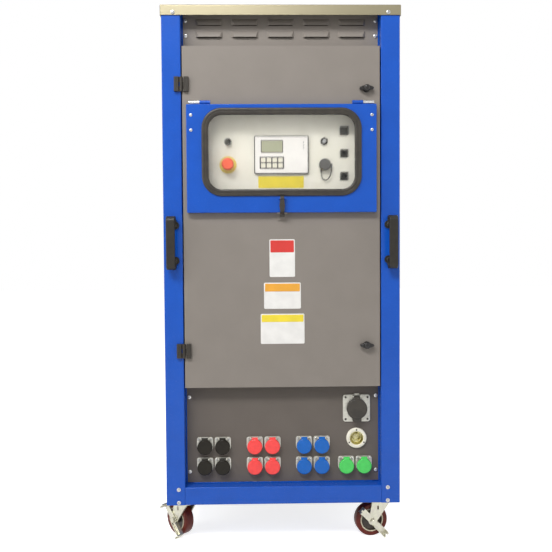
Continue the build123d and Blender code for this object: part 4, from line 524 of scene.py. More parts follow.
def black_die_casting(name):
    """Zinc casting in satin black epoxy, grey on its corners: wear, and a painted highlight."""
    return finish(name, "1C1A19", "242120", 10, 0.9, 0.02, (0.18, 0.3), edge="5A5652", specular=0.4)


def black_nylon(name):
    """Glass-filled nylon from a spark-eroded mould: matt black with a 0.6 mm grain, drawn at 1 mm."""
    return finish(name, "221F1B", "292620", 20, 1.0, 0.04, (0.36, 0.5), edge="5E5850", specular=0.3)


def epdm_rubber(name):
    """Extruded or moulded EPDM: brown-black and slightly glossy, with a bloom in patches of about 25 mm."""
    return finish(name, "2B2722", "37322B", 25, 0.8, 0.015, (0.3, 0.42), specular=0.4)


def black_elastomer(name):
    """Moulded thermoplastic elastomer with a smooth glossy skin, in black."""
    return finish(name, "1C1811", "211D15", 14, 2.0, 0.012, (0.16, 0.24), specular=0.18)


def grey_elastomer(name):
    """Moulded rubber of the port's cap, in dull dark grey with a dusty bloom."""
    return finish(name, "4B4A47", "565450", 12, 0.8, 0.02, (0.45, 0.6))


def red_elastomer(name):
    """The same elastomer in red."""
    return finish(name, "FA4644", "F04240", 14, 2.0, 0.012, (0.16, 0.24), specular=0.4)


def blue_elastomer(name):
    """The same elastomer in blue."""
    return finish(name, "1063BC", "0F60B4", 14, 2.0, 0.012, (0.16, 0.24), specular=0.25)


def green_elastomer(name):
    """The same elastomer in green."""
    return finish(name, "48D05C", "44C857", 14, 2.0, 0.012, (0.16, 0.24), specular=0.4)


def cream_enamel(name):
    """Satin cream enamel on the steel control plate, with a fine 1 mm peel."""
    return finish(name, "EFEBDC", "EAE6D6", 50, 1.2, 0.012, (0.36, 0.46))


def printed_film(name):
    """Printed polyester film over the controller: flat white with the fine tooth of its matt lacquer."""
    return finish(name, "EFEBE5", "EBE7E1", 30, 0.6, 0.006, (0.5, 0.58), specular=0.35)


def dark_moulding(name):
    """Moulded dark grey ABS with a light texture."""
    return finish(name, "4A4745", "524E4B", 18, 0.9, 0.02, (0.36, 0.5), edge="6E6965")


def black_moulding(name):
    """Moulded black polyamide of the sockets, with moulding gloss and dust in patches."""
    return finish(name, "33312A", "3E3B33", 8, 0.8, 0.02, (0.34, 0.5), edge="7A766A", specular=0.4)


def silicone_mat(name):
    """Compression-moulded silicone of the keypad's web: dark grey and matt."""
    return finish(name, "5B5651", "635E58", 12, 0.7, 0.015, (0.5, 0.62))


def silicone_key(name):
    """Cream silicone of the key tops, with a slight gloss where fingers rub."""
    return finish(name, "E9E4D2", "DFDAC8", 8, 0.6, 0.01, (0.38, 0.5))


def lcd_glass(name):
    """Reflective liquid-crystal panel behind matt film: olive, with a dot grid of 0.6 mm, drawn at 1.4 mm."""
    made = finish(name, "B4B597", "ABAC8F", 25, 0.6, 0.0, (0.3, 0.36))
    dots = cells(made.node_tree, 1.4, randomness=0.0)["Distance"]
    fade = add(made.node_tree, "ShaderNodeMapRange", (dots, 0.3, 0.6, 0, 1)).outputs[0]
    return recoloured(made, fade, "B8B99B", "A6A78B")


def red_polyamide(name):
    """Gloss red-orange polyamide of the emergency stop's head."""
    return finish(name, "F46848", "EC6242", 12, 1.4, 0.008, (0.24, 0.32), specular=0.4)


def yellow_polyamide(name):
    """Yellow polyamide collar behind the head."""
    return finish(name, "ECD26A", "E4C95E", 12, 1.2, 0.01, (0.34, 0.44))


def polished_chrome(name):
    """Chromium plate on the selector: mirror bright, with fine wipe marks."""
    return finish(name, "9A9992", "8A8982", 8, 0.6, 0.003, (0.12, 0.24), metallic=1.0)


def ivory_thermoset(name):
    """Moulded thermoset flange of the inlet, ivory white with a soft gloss."""
    return finish(name, "ECE8D8", "E4DFCE", 16, 1.0, 0.012, (0.3, 0.42))


def rolled_brass(name):
    """Rolled brass of the contacts, tarnished a little green."""
    return finish(name, "D9CE92", "C4BE84", 5, 0.6, 0.01, (0.28, 0.45), metallic=1.0)


def maroon_polyurethane(name):
    """Cast polyurethane tread: deep maroon and translucent-looking, scuffed in patches of about 10 mm."""
    return finish(name, "5C1B11", "682519", 10, 1.4, 0.03, (0.3, 0.46), edge="84483A", specular=0.25)


def painted_iron(name):
    """Cast-iron wheel core in grey-brown paint, pale on its edges: wear, and a painted highlight."""
    return finish(name, "4A423B", "574E46", 12, 1.6, 0.06, (0.4, 0.55), edge="B8AE9E", edge_mm=1.5)


def cream_paint(name):
    """Cream paint on the rim that the tread is cast round, scuffed through to iron in places."""
    return finish(name, "D8D0B6", "C2B89E", 9, 1.0, 0.03, (0.36, 0.5), edge="A09682", edge_mm=0.4)


def blackened_steel(name):
    """Black-oxide steel of small screws and nuts: dark, with bright corners that paint wear and a highlight."""
    edge = {"edge": "8A8680", "edge_mm": 0.4}
    return finish(name, "35322F", "423E3A", 5, 0.6, 0.01, (0.28, 0.42), metallic=0.8, **edge)


def olive_thermoset(name):
    """Insulating floor of the inlet: pale olive phenolic moulding, slightly mottled."""
    return finish(name, "F2EFCC", "E8E4C0", 6, 0.8, 0.015, (0.36, 0.5))


def smoked_lens(name):
    """Unlit indicator lens: smoky grey acrylic with a polished dome."""
    return finish(name, "8E8B8C", "858284", 6, 0.8, 0.0, (0.1, 0.16), coat=0.6)


def satin_grey_casting(name):
    """Zinc casting of the hinges in satin warm-grey lacquer, paler on its edges: a painted highlight."""
    return finish(name, "3C3832", "37332E", 12, 0.9, 0.025, (0.34, 0.48), edge="7C756C", specular=0.25)


def filter_fleece(name):
    """Needled polyester fleece of the pad behind the louvres, charcoal and matt as painted shade, with a 1.5 mm fibre
    grain.
    """
    return finish(name, "24231F", "2C2B26", 12, 1.5, 0.2, (0.8, 0.95), specular=0.2)


def motor_paint(name):
    """Air-drying enamel on the motor's iron, slightly rough from the casting under it."""
    return finish(name, "5C6A72", "54626A", 30, 3.0, 0.12, (0.35, 0.5), edge="7C868C")


def cast_aluminium(name):
    """Sand-cast aluminium of the fan's blades, with a 2 mm grain."""
    return finish(name, "A2A4A6", "939597", 20, 2.0, 0.08, (0.42, 0.58), metallic=0.9)


def heated_steel(name):
    """Stainless resistor tube that has been hot: straw and blue-grey oxide in bands of about 40 mm."""
    return finish(name, "8C7A62", "6A6C74", 40, 0.8, 0.01, (0.3, 0.48), metallic=0.9)


def switchgear_moulding(name):
    """Moulded grey polycarbonate of the contactors."""
    return finish(name, "70726F", "7C7E7A", 20, 0.9, 0.02, (0.4, 0.52), edge="969894")


def vinyl(name, code):
    """Cast vinyl film with a satin laminate, printed in one colour. Its second tone is a little darker."""
    darker = 0.96
    second = "%02X%02X%02X" % tuple(int(int(code[i : i + 2], 16) * darker) for i in (0, 2, 4))
    return finish(name, code, second, 40, 0.9, 0.006, (0.3, 0.38))


def white_vinyl(name):
    """Blank white label film."""
    return vinyl(name, "EAE8E4")


def red_vinyl(name):
    """Blank red band of a label."""
    return vinyl(name, "D33A34")


def orange_vinyl(name):
    """Blank orange band of a label."""
    return vinyl(name, "E8A53A")


def yellow_vinyl(name):
    """Blank yellow band of a label."""
    return vinyl(name, "EFD83C")


def clear_polycarbonate(name):
    """Clear polycarbonate sheet: nearly colourless, with a polished surface and faint wiping haze. It covers
    only in part, so that lamps light what is behind it."""
    made = finish(name, "FFFFFF", "FAFCFC", 80, 12.0, 0.0, (0.02, 0.05), ior=1.585)
    shader = made.node_tree.nodes["Principled BSDF"]
    shader.inputs["Transmission Weight"].default_value = 1.0
    shader.inputs["Alpha"].default_value = 0.25
    return made


def material(name):
    """The material of that name, made by the function of that name the first time it is asked for."""
    return bpy.data.materials.get(name) or globals()[name](name)


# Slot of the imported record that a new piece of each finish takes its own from.
RECORD_SLOTS = {
    "cast_zinc": "receptacle_alloy",
    "black_moulding": "black_plastic",
    "rolled_brass": "bare_steel",
    "zinc_plate": "bare_steel",
    "blackened_steel": "bare_steel",
    "polished_chrome": "bare_steel",
    "ivory_thermoset": "inlet_ivory",
    "olive_thermoset": "inlet_ivory",
    "yellow_polyamide": "black_plastic",
    "printed_film": "controller_grey",
    "silicone_mat": "controller_grey",
    "lcd_glass": "controller_grey",
    "smoked_lens": "controller_grey",
    "white_vinyl": "door_paint",
    "red_vinyl": "door_paint",
    "orange_vinyl": "door_paint",
    "yellow_vinyl": "plate_paint",
    "maroon_polyurethane": "tread",
    "painted_iron": "tread",
    "cream_paint": "tread",
    "epdm_rubber": "black_rubber",
    "filter_fleece": "black_rubber",
    "black_die_casting": "black_plastic",
}
NODE_FINISHES = {
    "blue_powder_coat": ("corner_posts", "frame_rails", "flip_cover"),
    "grey_powder_coat": ("main_door", "outer_panels", "louvre_panel", "strap_keeper"),
    # The connector panel's darker copy of the door's grey powder is painted shade of its recess.
    "dark_powder_coat": ("connector_panel",),
    "brushed_stainless": ("top_cap",),
    "zinc_plate": ("exhaust_guard", "cover_hinge_pins"),
    "galvanised_sheet": ("inner_bulkheads",),
    "yellow_passivate": (
        "castor_mounts",
        "front_left_fork",
        "front_right_fork",
        "front_left_brake",
        "front_right_brake",
    ),
    "satin_grey_casting": ("hinge_post_halves", "hinge_door_halves"),
    "black_die_casting": ("upper_latch_knob", "lower_latch_knob"),
    "black_nylon": ("grab_handles",),
    "cream_enamel": ("control_plate",),
    "dark_moulding": ("controller",),
    "silicone_key": ("controller_keypad",),
    "black_moulding": ("selector_knob",),
    "red_polyamide": ("stop_button",),
    "grey_elastomer": ("connector_cap",),
    "epdm_rubber": ("cover_strap", "outlet_lid"),
    "clear_polycarbonate": ("window_pane",),
    "motor_paint": ("fan_motor",),
    "cast_aluminium": ("fan_rotor",),
    "heated_steel": ("resistor_bank",),
    "switchgear_moulding": ("switchgear",),
}


# ------------------------------------------------------------------ settings
def length_property(name, description, millimetres):
    """Length property with its default in millimetres."""
    default = millimetres * MM
    return FloatProperty(name=name, description=description, default=default, min=0, unit="LENGTH")


def colour_property(name, description, code):
    """Colour property with its default as an sRGB hex value."""
    default = linear(code)[:3]
    return FloatVectorProperty(
        name=name, description=description, subtype="COLOR", min=0, max=1, default=default
    )


def light_property(name, description, default, **settings):
    """Property for how strong a light is."""
    return FloatProperty(name=name, description=description, default=default, **settings)


class LoadBankSizes(bpy.types.PropertyGroup):
    """Sizes of the small fittings"""

    screw_radius: length_property("Panel screw", "Radius of the heads that hold the panels", 6.0)
    small_screw_radius: length_property("Flange screw", "Radius of the heads on the connector flanges", 3.2)
    label_thickness: length_property("Label", "Thickness of the blank labels", 0.4)
    tether_radius: length_property("Tether", "Radius of the cord that holds the port's cap", 1.4)


class LoadBankStage(bpy.types.PropertyGroup):
    """Camera and light"""

    floor: colour_property("Floor", "Colour of the floor under the cabinet", "DADAD8")
    key_power: light_property("Key light", "Power of the large lamp above the front", 118, unit="POWER")
    fill_power: light_property("Fill light", "Power of the side and back lamps", 18, unit="POWER")
    sky: light_property("Room light", "Strength of the even light from all round", 0.34)


# ------------------------------------------------------------------ pieces
class LOADBANK_OT_stage(bpy.types.Operator):
    """Camera in front of the cabinet, soft lamps, pale floor and white surroundings"""

    bl_idname = "load_bank.stage"
    bl_label = "Stage"

    EYE = (-0.05706, -2.3555, 0.89387)
    TURNS = ((-1.087, "Z"), (-1.972, "X"), (0.3615, "Y"), (90, "X"))  # yaw, pitch, roll, and to look ahead
    LENS_MM, SENSOR_MM = 43.376, 36
    CLIP = (0.05, 60)
    AIM = Vector((0, 0, 0.85))  # middle of the cabinet
    FLOOR_REACH = 14.0  # from the origin to each side
    FLOOR_GLOW = 0.78
    # Place and size of each lamp, the setting that gives its power, and its share of that.
    LAMPS = {
        "key": ((-1.2, -2.8, 3.5), (2.6, 0.6), "key_power", 1.0),
        "left_fill": ((-3.0, -1.6, 1.7), (1.6, 1.6), "fill_power", 1.7),
        "right_fill": ((3.0, -1.6, 1.5), (1.6, 1.6), "fill_power", 1.0),
        "back": ((1.4, 3.2, 2.6), (1.8, 1.8), "fill_power", 1.8),
    }

    def execute(self, context):
        scene = context.scene
        stage = scene.load_bank_stage
        self.camera(scene)
        self.room(scene, stage)
        for name, (place, size, setting, share) in self.LAMPS.items():
            self.lamp(name, place, size, share * getattr(stage, setting))
        self.floor(stage)
        scene.view_settings.view_transform = "Standard"
        return {"FINISHED"}

    def camera(self, scene):
        """Nearly level camera two metres in front of the cabinet and a little left of its middle."""
        lens = bpy.data.cameras.new("camera")
        lens.lens, lens.sensor_width = self.LENS_MM, self.SENSOR_MM
        lens.clip_start, lens.clip_end = self.CLIP
        scene.camera = linked("camera", lens)
        turn = Matrix.Identity(3)
        for angle, axis in self.TURNS:
            turn = turn @ Matrix.Rotation(radians(angle), 3, axis)
        scene.camera.matrix_world = Matrix.Translation(self.EYE) @ turn.to_4x4()

    def lamp(self, name, place, size, watts):
        """Rectangular area lamp that looks at the middle of the cabinet."""
        light = bpy.data.lights.new(name, "AREA")
        light.shape = "RECTANGLE"
        light.size, light.size_y = size
        light.energy = watts
        made = linked(name, light)
        made.location = place
        made.rotation_euler = (self.AIM - made.location).to_track_quat("-Z", "Y").to_euler()

    def room(self, scene, stage):
        """Even light from all round, which the camera, gloss and clear pieces see as plain white."""
        world = bpy.data.worlds.new("room")
        world.use_nodes = True
        tree = world.node_tree
        strength = add(tree, "ShaderNodeMapRange", (self.seen(tree), 0.0, 1.0, stage.sky, 1.0)).outputs[0]
        background = tree.nodes["Background"]
        background.inputs["Color"].default_value = (1, 1, 1, 1)
        tree.links.new(strength, background.inputs["Strength"])
        scene.world = world

    def seen(self, tree):
        """1 for rays from the camera and for those that a mirror or clear piece sends on."""
        rays = add(tree, "ShaderNodeLightPath").outputs
        pair = (rays["Is Glossy Ray"], rays["Is Transmission Ray"])
        shiny = add(tree, "ShaderNodeMath", pair, operation="MAXIMUM").outputs[0]
        return add(tree, "ShaderNodeMath", (rays["Is Camera Ray"], shiny), operation="MAXIMUM").outputs[0]

    def floor(self, stage):
        """Flat pale floor. It glows a little to the camera, so that it meets the white room and keeps its
        shadow."""
        mesh = bpy.data.meshes.new("floor")
        reach = self.FLOOR_REACH
        corners = [(-reach, -reach, 0), (reach, -reach, 0), (reach, reach, 0), (-reach, reach, 0)]
        mesh.from_pydata(corners, [], [(0, 1, 2, 3)])
        paint = bpy.data.materials.new("matt_floor_paint")
        paint.use_nodes = True
        tree = paint.node_tree
        shader = tree.nodes["Principled BSDF"]
        shader.inputs["Base Color"].default_value = (*stage.floor, 1)
        shader.inputs["Roughness"].default_value = 0.9
        shader.inputs["Emission Color"].default_value = (1, 1, 1, 1)
        glow = add(tree, "ShaderNodeMapRange", (self.seen(tree), 0, 1, 0, self.FLOOR_GLOW)).outputs[0]
        tree.links.new(glow, shader.inputs["Emission Strength"])
        mesh.materials.append(paint)
        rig.stage(linked("floor", mesh))


class LOADBANK_OT_tether(bpy.types.Operator):
    """Limp cord that hangs from the soft cap and ends in the port's lug"""

    bl_idname = "load_bank.tether"
    bl_label = "Cap tether"

    ROUTE = (
        (151.5, -334.5, 1157),
        (151.5, -334.5, 1141),
        (147, -333, 1124.5),
        (137.5, -331.5, 1113.5),
        (126.5, -330, 1115.5),
        (121, -329, 1126),
        (121, -329, 1137.5),
    )

    def execute(self, context):
        radius = context.scene.load_bank_sizes.tether_radius
        curve = self.route()
        carrier = bpy.data.objects.new("tether_route", curve)
        path = [tuple(v.co) for v in bpy.data.meshes.new_from_object(carrier).vertices]
        curve.bevel_depth = radius
        tube = merged(bpy.data.meshes.new_from_object(carrier))
        bpy.data.objects.remove(carrier)
        tube.materials.clear()
        tube.materials.append(material("epdm_rubber"))
        made = linked("port_cap_tether", tube)
        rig.blend(made, "door", "port_cap", start=(0.124, -0.33, 1.12), end=(0.15, -0.33, 1.12))
        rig.replaces(made, "cap_tether")
        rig.slot(made, RECORD_SLOTS["epdm_rubber"])
        exit_point = [v * MM for v in self.ROUTE[0]]
        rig.cord(
            made,
            exit=exit_point,
            length=0.0805,
            diameter=2 * radius,
            far_end="object",
            stiffness="limp",
            lay="hanging",
            path=path,
        )
        return {"FINISHED"}

    def route(self):
        """Smooth curve of the third order, drawn to the points of the route, that ends in the outer two."""
        curve = bpy.data.curves.new("tether_route", "CURVE")
        curve.dimensions = "3D"
        curve.bevel_resolution = 5
        curve.use_fill_caps = True
        spline = curve.splines.new("NURBS")
        spline.points.add(len(self.ROUTE) - 1)
        spline.points.foreach_set("co", [v for x, y, z in self.ROUTE for v in (x * MM, y * MM, z * MM, 1.0)])
        spline.order_u = 3
        spline.use_endpoint_u = True
        spline.resolution_u = 12
        return curve


class LOADBANK_OT_finishes(bpy.types.Operator):
    """Finish of every piece that the CAD model already shapes"""

    bl_idname = "load_bank.finishes"
    bl_label = "Finishes"

    def execute(self, context):
        for name, nodes in NODE_FINISHES.items():
            for node in nodes:
                self.paint(frame["nodes"][node], material(name))
        for node, shown in frame["nodes"].items():
            if node.endswith("_lid") and node != "outlet_lid":
                self.paint(shown, material(node.split("_")[0] + "_elastomer"))
        return {"FINISHED"}

    def paint(self, shown, finish):
        for place in shown.material_slots:
            place.material = finish


class LOADBANK_OT_panel_screws(bpy.types.Operator):
    """Cross-recessed heads on the panels, posts, top cap, window cover and grab handles"""

    bl_idname = "load_bank.panel_screws"
    bl_label = "Panel screws"

    # Screws of each group: how far they are to either side, the face that they are on, and their heights.
    PANELS = (288, PANEL_FACE_Y, (1551, 1597, 220, 452))
    POSTS = (318, FRONT_Y, (138, 178))
    CAP = (320, -358.5, (1608,))
    COVER = (268, COVER_FACE_Y, (1258, 1302))
    HANDLES = (320, -361.5, (873, 978))

    def execute(self, context):
        radius = context.scene.load_bank_sizes.screw_radius / MM
        heads = self.heads(radius, 0.7, self.PANELS, self.POSTS, self.CAP)
        made = piece("panel_screw_heads", heads, "zinc_plate", "cabinet")
        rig.replaces(made, "frame_screws")
        heads = self.heads(0.75 * radius, 0.9, self.COVER)
        piece("cover_screw_heads", heads, "zinc_plate", "cover")
        heads = self.heads(radius, 0.6, self.HANDLES)
        piece("handle_screw_heads", heads, "blackened_steel", "cabinet")
        return {"FINISHED"}

    def heads(self, radius, step, *groups):
        """Heads of whole groups, each turned by one step more than the last, as a hand leaves them."""
        places = [(side * x, y, z) for x, y, heights in groups for side in (-1, 1) for z in heights]
        return [screw_head(radius, *place, turn=step * n) for n, place in enumerate(places)]


def lid_ears(x, y, z, reach):
    """Two ears and the pin between them, which carry a flip lid: z is the height of the pin."""
    radius, apart = 3.5, 11.5
    ear_length = reach + radius
    middle = y - ear_length / 2
    steps = ((0.6, -1.5), (0, -1.1), (0, 1.1), (0.6, 1.5))
    size = (ear_length, 2 * radius, radius - 0.01)
    ears = [plate(*size, steps, x + side * apart, middle, z, SIDEWAYS) for side in (-1, 1)]
    pin = ((1.2, -13.4), (1.5, -13.1), (1.5, 13.1), (1.2, 13.4))
    return ears + [turned(pin, (x, y - reach, z), (1, 0, 0), segments=24)]


class LOADBANK_OT_sockets(bpy.types.Operator):
    """Single-pole sockets behind the flip lids: cast flanges, black barrels and brass contacts"""

    bl_idname = "load_bank.sockets"
    bl_label = "Single-pole sockets"

    SQUARE = (
        (50.5, 50.5, (7, 24), 0),
        (50.5, 50.5, (7, 24), 2.8),
        (50.1, 50.1, (6.8, 23.8), 3.3),
        (49.2, 49.2, (6.4, 23.4), 3.5),
    )
    SQUARE_UP = 3.25  # over the middle of the barrel
    BORE = (disc(20.6, 3.5), disc(20.1, 3.1), disc(20.1, 0))
    BOSS = ((5, 3.2), (5, 4), (4.7, 4.3), (0, 4.3))
    BOSS_ACROSS, BOSS_UP, BOSS_OUT = 19.5, 22.8, 4.3
    LID_PIN_UP, EAR_REACH = 25, 12
    TUBE = ((20, 0), (20, 13.2), (19.2, 14), (16.3, 14), (15.5, 13.2), (15.5, -36), (20, -36))
    CONTACT = ((15.5, -37), (15.5, -32), (8, -32), (8, 2.5), (6.5, 4), (2.5, 4), (2.2, 1), (0, 1))

    def execute(self, context):
        places = [
            (x, PANEL_FACE_Y, z)
            for tone, columns in SOCKET_COLUMNS.items()
            for x in columns
            for z in SOCKET_ROWS[tone]
        ]
        flanges = [part for place in places for part in self.flange(*place)]
        made = piece("socket_flanges", flanges, "cast_zinc", "cabinet")
        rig.replaces(made, "cam_receptacles")
        barrels = [turned(self.TUBE, place, closed=True) for place in places]
        piece("socket_barrels", barrels, "black_moulding", "cabinet")
        contacts = [turned(self.CONTACT, place, segments=32) for place in places]
        piece("socket_contacts", contacts, "rolled_brass", "cabinet")
        radius = context.scene.load_bank_sizes.small_screw_radius / MM
        heads = [
            screw_head(radius, boss_x, y - self.BOSS_OUT, boss_z, turn=0.5 * n)
            for n, (x, y, z) in enumerate(places)
            for boss_x, boss_z in self.bosses(x, z)
        ]
        piece("socket_screw_heads", heads, "zinc_plate", "cabinet")
        return {"FINISHED"}

    def bosses(self, x, z):
        return [(x + side * self.BOSS_ACROSS, z + self.BOSS_UP) for side in (-1, 1)]

    def flange(self, x, y, z):
        """Square plate that runs into a round bore, with its two screw bosses and the lid's ears."""
        square = lofted(self.SQUARE + self.BORE, x, y, z, closed=True, up=self.SQUARE_UP)
        bosses = [turned(self.BOSS, (boss_x, y, boss_z), segments=32) for boss_x, boss_z in self.bosses(x, z)]
        return [square, *bosses, *lid_ears(x, y, z + self.LID_PIN_UP, self.EAR_REACH)]


class LOADBANK_OT_outlet(bpy.types.Operator):
    """Square plate of the auxiliary outlet with its barrel, insert and screws"""

    bl_idname = "load_bank.outlet"
    bl_label = "Auxiliary outlet"

    SQUARE = ((84, 84, 8, 0), (84, 84, 8, 3.2), (83.4, 83.4, 7.7, 3.8), (82.2, 82.2, 7, 4))
    BORE = (disc(28.2, 4), disc(27.6, 3.4), disc(27.6, 0))
    BRACKET_UP, LID_PIN_UP, EAR_REACH = 42, 36.5, 11
    TUBE = ((27.5, 0), (27.5, 11), (26.5, 12), (24.5, 12), (23.5, 11), (23.5, -39), (27.5, -39))
    INSERT = ((23.5, -39), (23.5, -34), (22, -33), (0, -33))
    SCREW_ACROSS, SCREW_OUT = 34, 4

    def execute(self, context):
        (x, z), y = OUTLET, PANEL_FACE_Y
        square = lofted(self.SQUARE + self.BORE, x, y, z, closed=True)
        bracket = plate(16, 8, 1, ((0, 2), (0, 4.7), (0.5, 5.2)), x, y, z + self.BRACKET_UP)
        skins = [square, bracket, *lid_ears(x, y, z + self.LID_PIN_UP, self.EAR_REACH)]
        made = piece("outlet_plate", skins, "cast_zinc", "cabinet")
        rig.replaces(made, "outlet_body")
        tube = turned(self.TUBE, (x, y, z), closed=True, segments=64)
        insert = turned(self.INSERT, (x, y, z), segments=64)
        piece("outlet_barrel", [tube, insert], "black_moulding", "cabinet")
        radius = context.scene.load_bank_sizes.small_screw_radius / MM
        across = self.SCREW_ACROSS
        corners = [(x + across * side, z + across * up) for side in (-1, 1) for up in (-1, 1)]
        heads = [
            screw_head(radius, corner_x, y - self.SCREW_OUT, corner_z, turn=0.8 * n)
            for n, (corner_x, corner_z) in enumerate(corners)
        ]
        piece("outlet_screw_heads", heads, "blackened_steel", "cabinet")
        return {"FINISHED"}


class LOADBANK_OT_inlet(bpy.types.Operator):
    """Round ivory flange of the power inlet, its metal shell and three curved blades"""

    bl_idname = "load_bank.inlet"
    bl_label = "Power inlet"

    FLANGE = (
        (31.3, 0), (31.3, 4.5), (30.9, 5.8), (29.9, 6.7), (28.6, 7), (22, 7), (21.3, 6.7), (21, 6),
        (21, -23), (23, -23), (23, 0),
    )
    SHELL = ((20.9, -22.5), (20.9, 5.5), (20.1, 5.5), (20.1, -20), (20.1, -22.5))
    FLOOR = ((20.1, -22.5), (20.1, -17.5), (19, -16.5), (9, -16.5), (8, -12), (7, -11), (0, -11))
    BLADE = ((11.5, -18), (11.5, 3.2), (11.8, 4), (13.2, 4), (13.5, 3.2), (13.5, -18))
    BLADE_STARTS, BLADE_ARC, BLADE_STATIONS = (60, 180, 300), 50, 12
    SCREW_RADIUS, SCREW_CIRCLE, SCREW_OUT, SCREW_ANGLES = 2.4, 26, 7, (90.0, 210.0, 330.0)

    def execute(self, context):
        (x, z), y = INLET, PANEL_FACE_Y
        flange = turned(self.FLANGE, (x, y, z), segments=72, closed=True)
        made = piece("inlet_flange", [flange], "ivory_thermoset", "cabinet")
        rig.replaces(made, "power_inlet")
        skins = [turned(self.SHELL, (x, y, z), segments=72, closed=True)]
        skins += [self.blade(x, y, z, radians(start)) for start in self.BLADE_STARTS]
        piece("inlet_contacts", skins, "rolled_brass", "cabinet")
        piece("inlet_floor", [turned(self.FLOOR, (x, y, z))], "olive_thermoset", "cabinet")
        circle, out = self.SCREW_CIRCLE, self.SCREW_OUT
        heads = [
            screw_head(self.SCREW_RADIUS, x + circle * np.cos(a), y - out, z + circle * np.sin(a), turn=a)
            for a in np.radians(self.SCREW_ANGLES)
        ]
        piece("inlet_screw_heads", heads, "blackened_steel", "cabinet")
        return {"FINISHED"}

    def blade(self, x, y, z, start):
        """Blade along an arc: (radius, out) of its section goes to radius * (cos t, sin t), out in front."""
        t = start + np.linspace(0, radians(self.BLADE_ARC), self.BLADE_STATIONS)[:, None]
        radius, out = np.array(self.BLADE).T
        across = x + radius * np.cos(t)
        return skin(np.stack([across, np.broadcast_to(y - out, across.shape), z + radius * np.sin(t)], -1))


class LOADBANK_OT_controls(bpy.types.Operator):
    """Fittings of the control plate: collar, bezel, square sockets, remote socket and data port"""

    bl_idname = "load_bank.controls"
    bl_label = "Control plate fittings"

    STOP = (-162, PLATE_Y, 1162)
    SELECTOR = (-161.5, PLATE_Y, 1231)
    REMOTE = (130, PLATE_Y, 1232)
    PORT = (131.5, PLATE_Y, 1161)
    OPEN_SOCKETS = ((191, PLATE_Y, 1127), (191, PLATE_Y, 1195.5))
    BLANKED_SOCKET = (191, PLATE_Y, 1264)
    COLLAR = ((26, 0), (26, 1.6), (25.2, 2.6), (23.5, 3), (15.4, 3), (15.4, 0))
    GUARD = (
        (15.3, -2), (15.3, 9.4), (14.7, 10), (9, 10), (8.4, 9.4), (8.4, -38), (10.4, -38), (10.4, -2),
    )
    BEZEL = (
        (11.5, 0), (11.5, 2.6), (10.9, 3.6), (9.6, 4), (5.4, 4), (5.1, 3.7), (5.1, -28), (8.8, -28), (8.8, 0),
    )
    STUB = (disc(9, -18), disc(9, 0))
    SQUARE = ((25, 25, 2.5, 0), (25, 25, 2.5, 1.9), (24.2, 24.2, 2.1, 2.5))
    WELL = (disc(10.1, 2.5), disc(10, 4.6), disc(9.6, 5), disc(8.4, 5), disc(8, 4.6), disc(8, -16))
    BLANK = (
        (27, 27, 2, 0), (27, 27, 2, 3.4), (26, 26, 1.5, 4), (24.4, 24.4, 1, 4), (24, 24, 1, 3.4),
        (24, 24, 1, 3),
    )
    NUT = ((12, 0), (12, 4.4), (11.4, 5), (7.6, 5), (7.6, 0))
    BARREL = ((9, 0), (9, 8.2), (8.4, 9), (7.6, 9), (7, 8.2), (7, -13), (0, -13))
    CORE = ((6, -13), (6, 5.4), (5.4, 6), (0, 6))
    PORT_FLANGE = (
        (15, 0), (15, 1.5), (14.5, 2), (10.5, 2), (10.5, 9.4), (9.9, 10), (8, 10), (8, -10), (0, -10),
    )

    def execute(self, context):
        collar = turned(self.COLLAR, self.STOP, segments=72, closed=True)
        made = piece("stop_collar", [collar], "yellow_polyamide", "door")
        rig.replaces(made, "panel_fittings")
        piece("stop_housing", [turned(self.GUARD, self.STOP, closed=True)], "black_moulding", "door")
        piece("selector_bezel", [turned(self.BEZEL, self.SELECTOR, closed=True)], "polished_chrome", "door")
        sockets = [lofted(self.STUB + self.SQUARE + self.WELL, *place) for place in self.OPEN_SOCKETS]
        sockets.append(lofted(self.BLANK, *self.BLANKED_SOCKET))
        sockets += self.port(*self.PORT)
        piece("panel_sockets", sockets, "black_moulding", "door")
        hexagon = turned(self.NUT, self.REMOTE, segments=6, start=TURN / 12, closed=True)
        barrel = turned(self.BARREL, self.REMOTE)
        piece("remote_socket", [hexagon, barrel], "blackened_steel", "door", sharp=25)
        piece("remote_core", [turned(self.CORE, self.REMOTE)], "zinc_plate", "door")
        return {"FINISHED"}

    def port(self, x, y, z):
        """Flange and barrel behind the soft cap, with the arm and lug that the tether ends in."""
        left = x - 10.5
        arm = plate(4.8, 23.5, 0.6, ((0, 0), (0, 1.7), (0.3, 2)), left, y, z - 11.75)
        lug = plate(4.8, 5, 0.8, ((0, 0), (0, 5.5), (0.4, 5.9)), left, y, z - 21)
        return [turned(self.PORT_FLANGE, (x, y, z)), arm, lug]


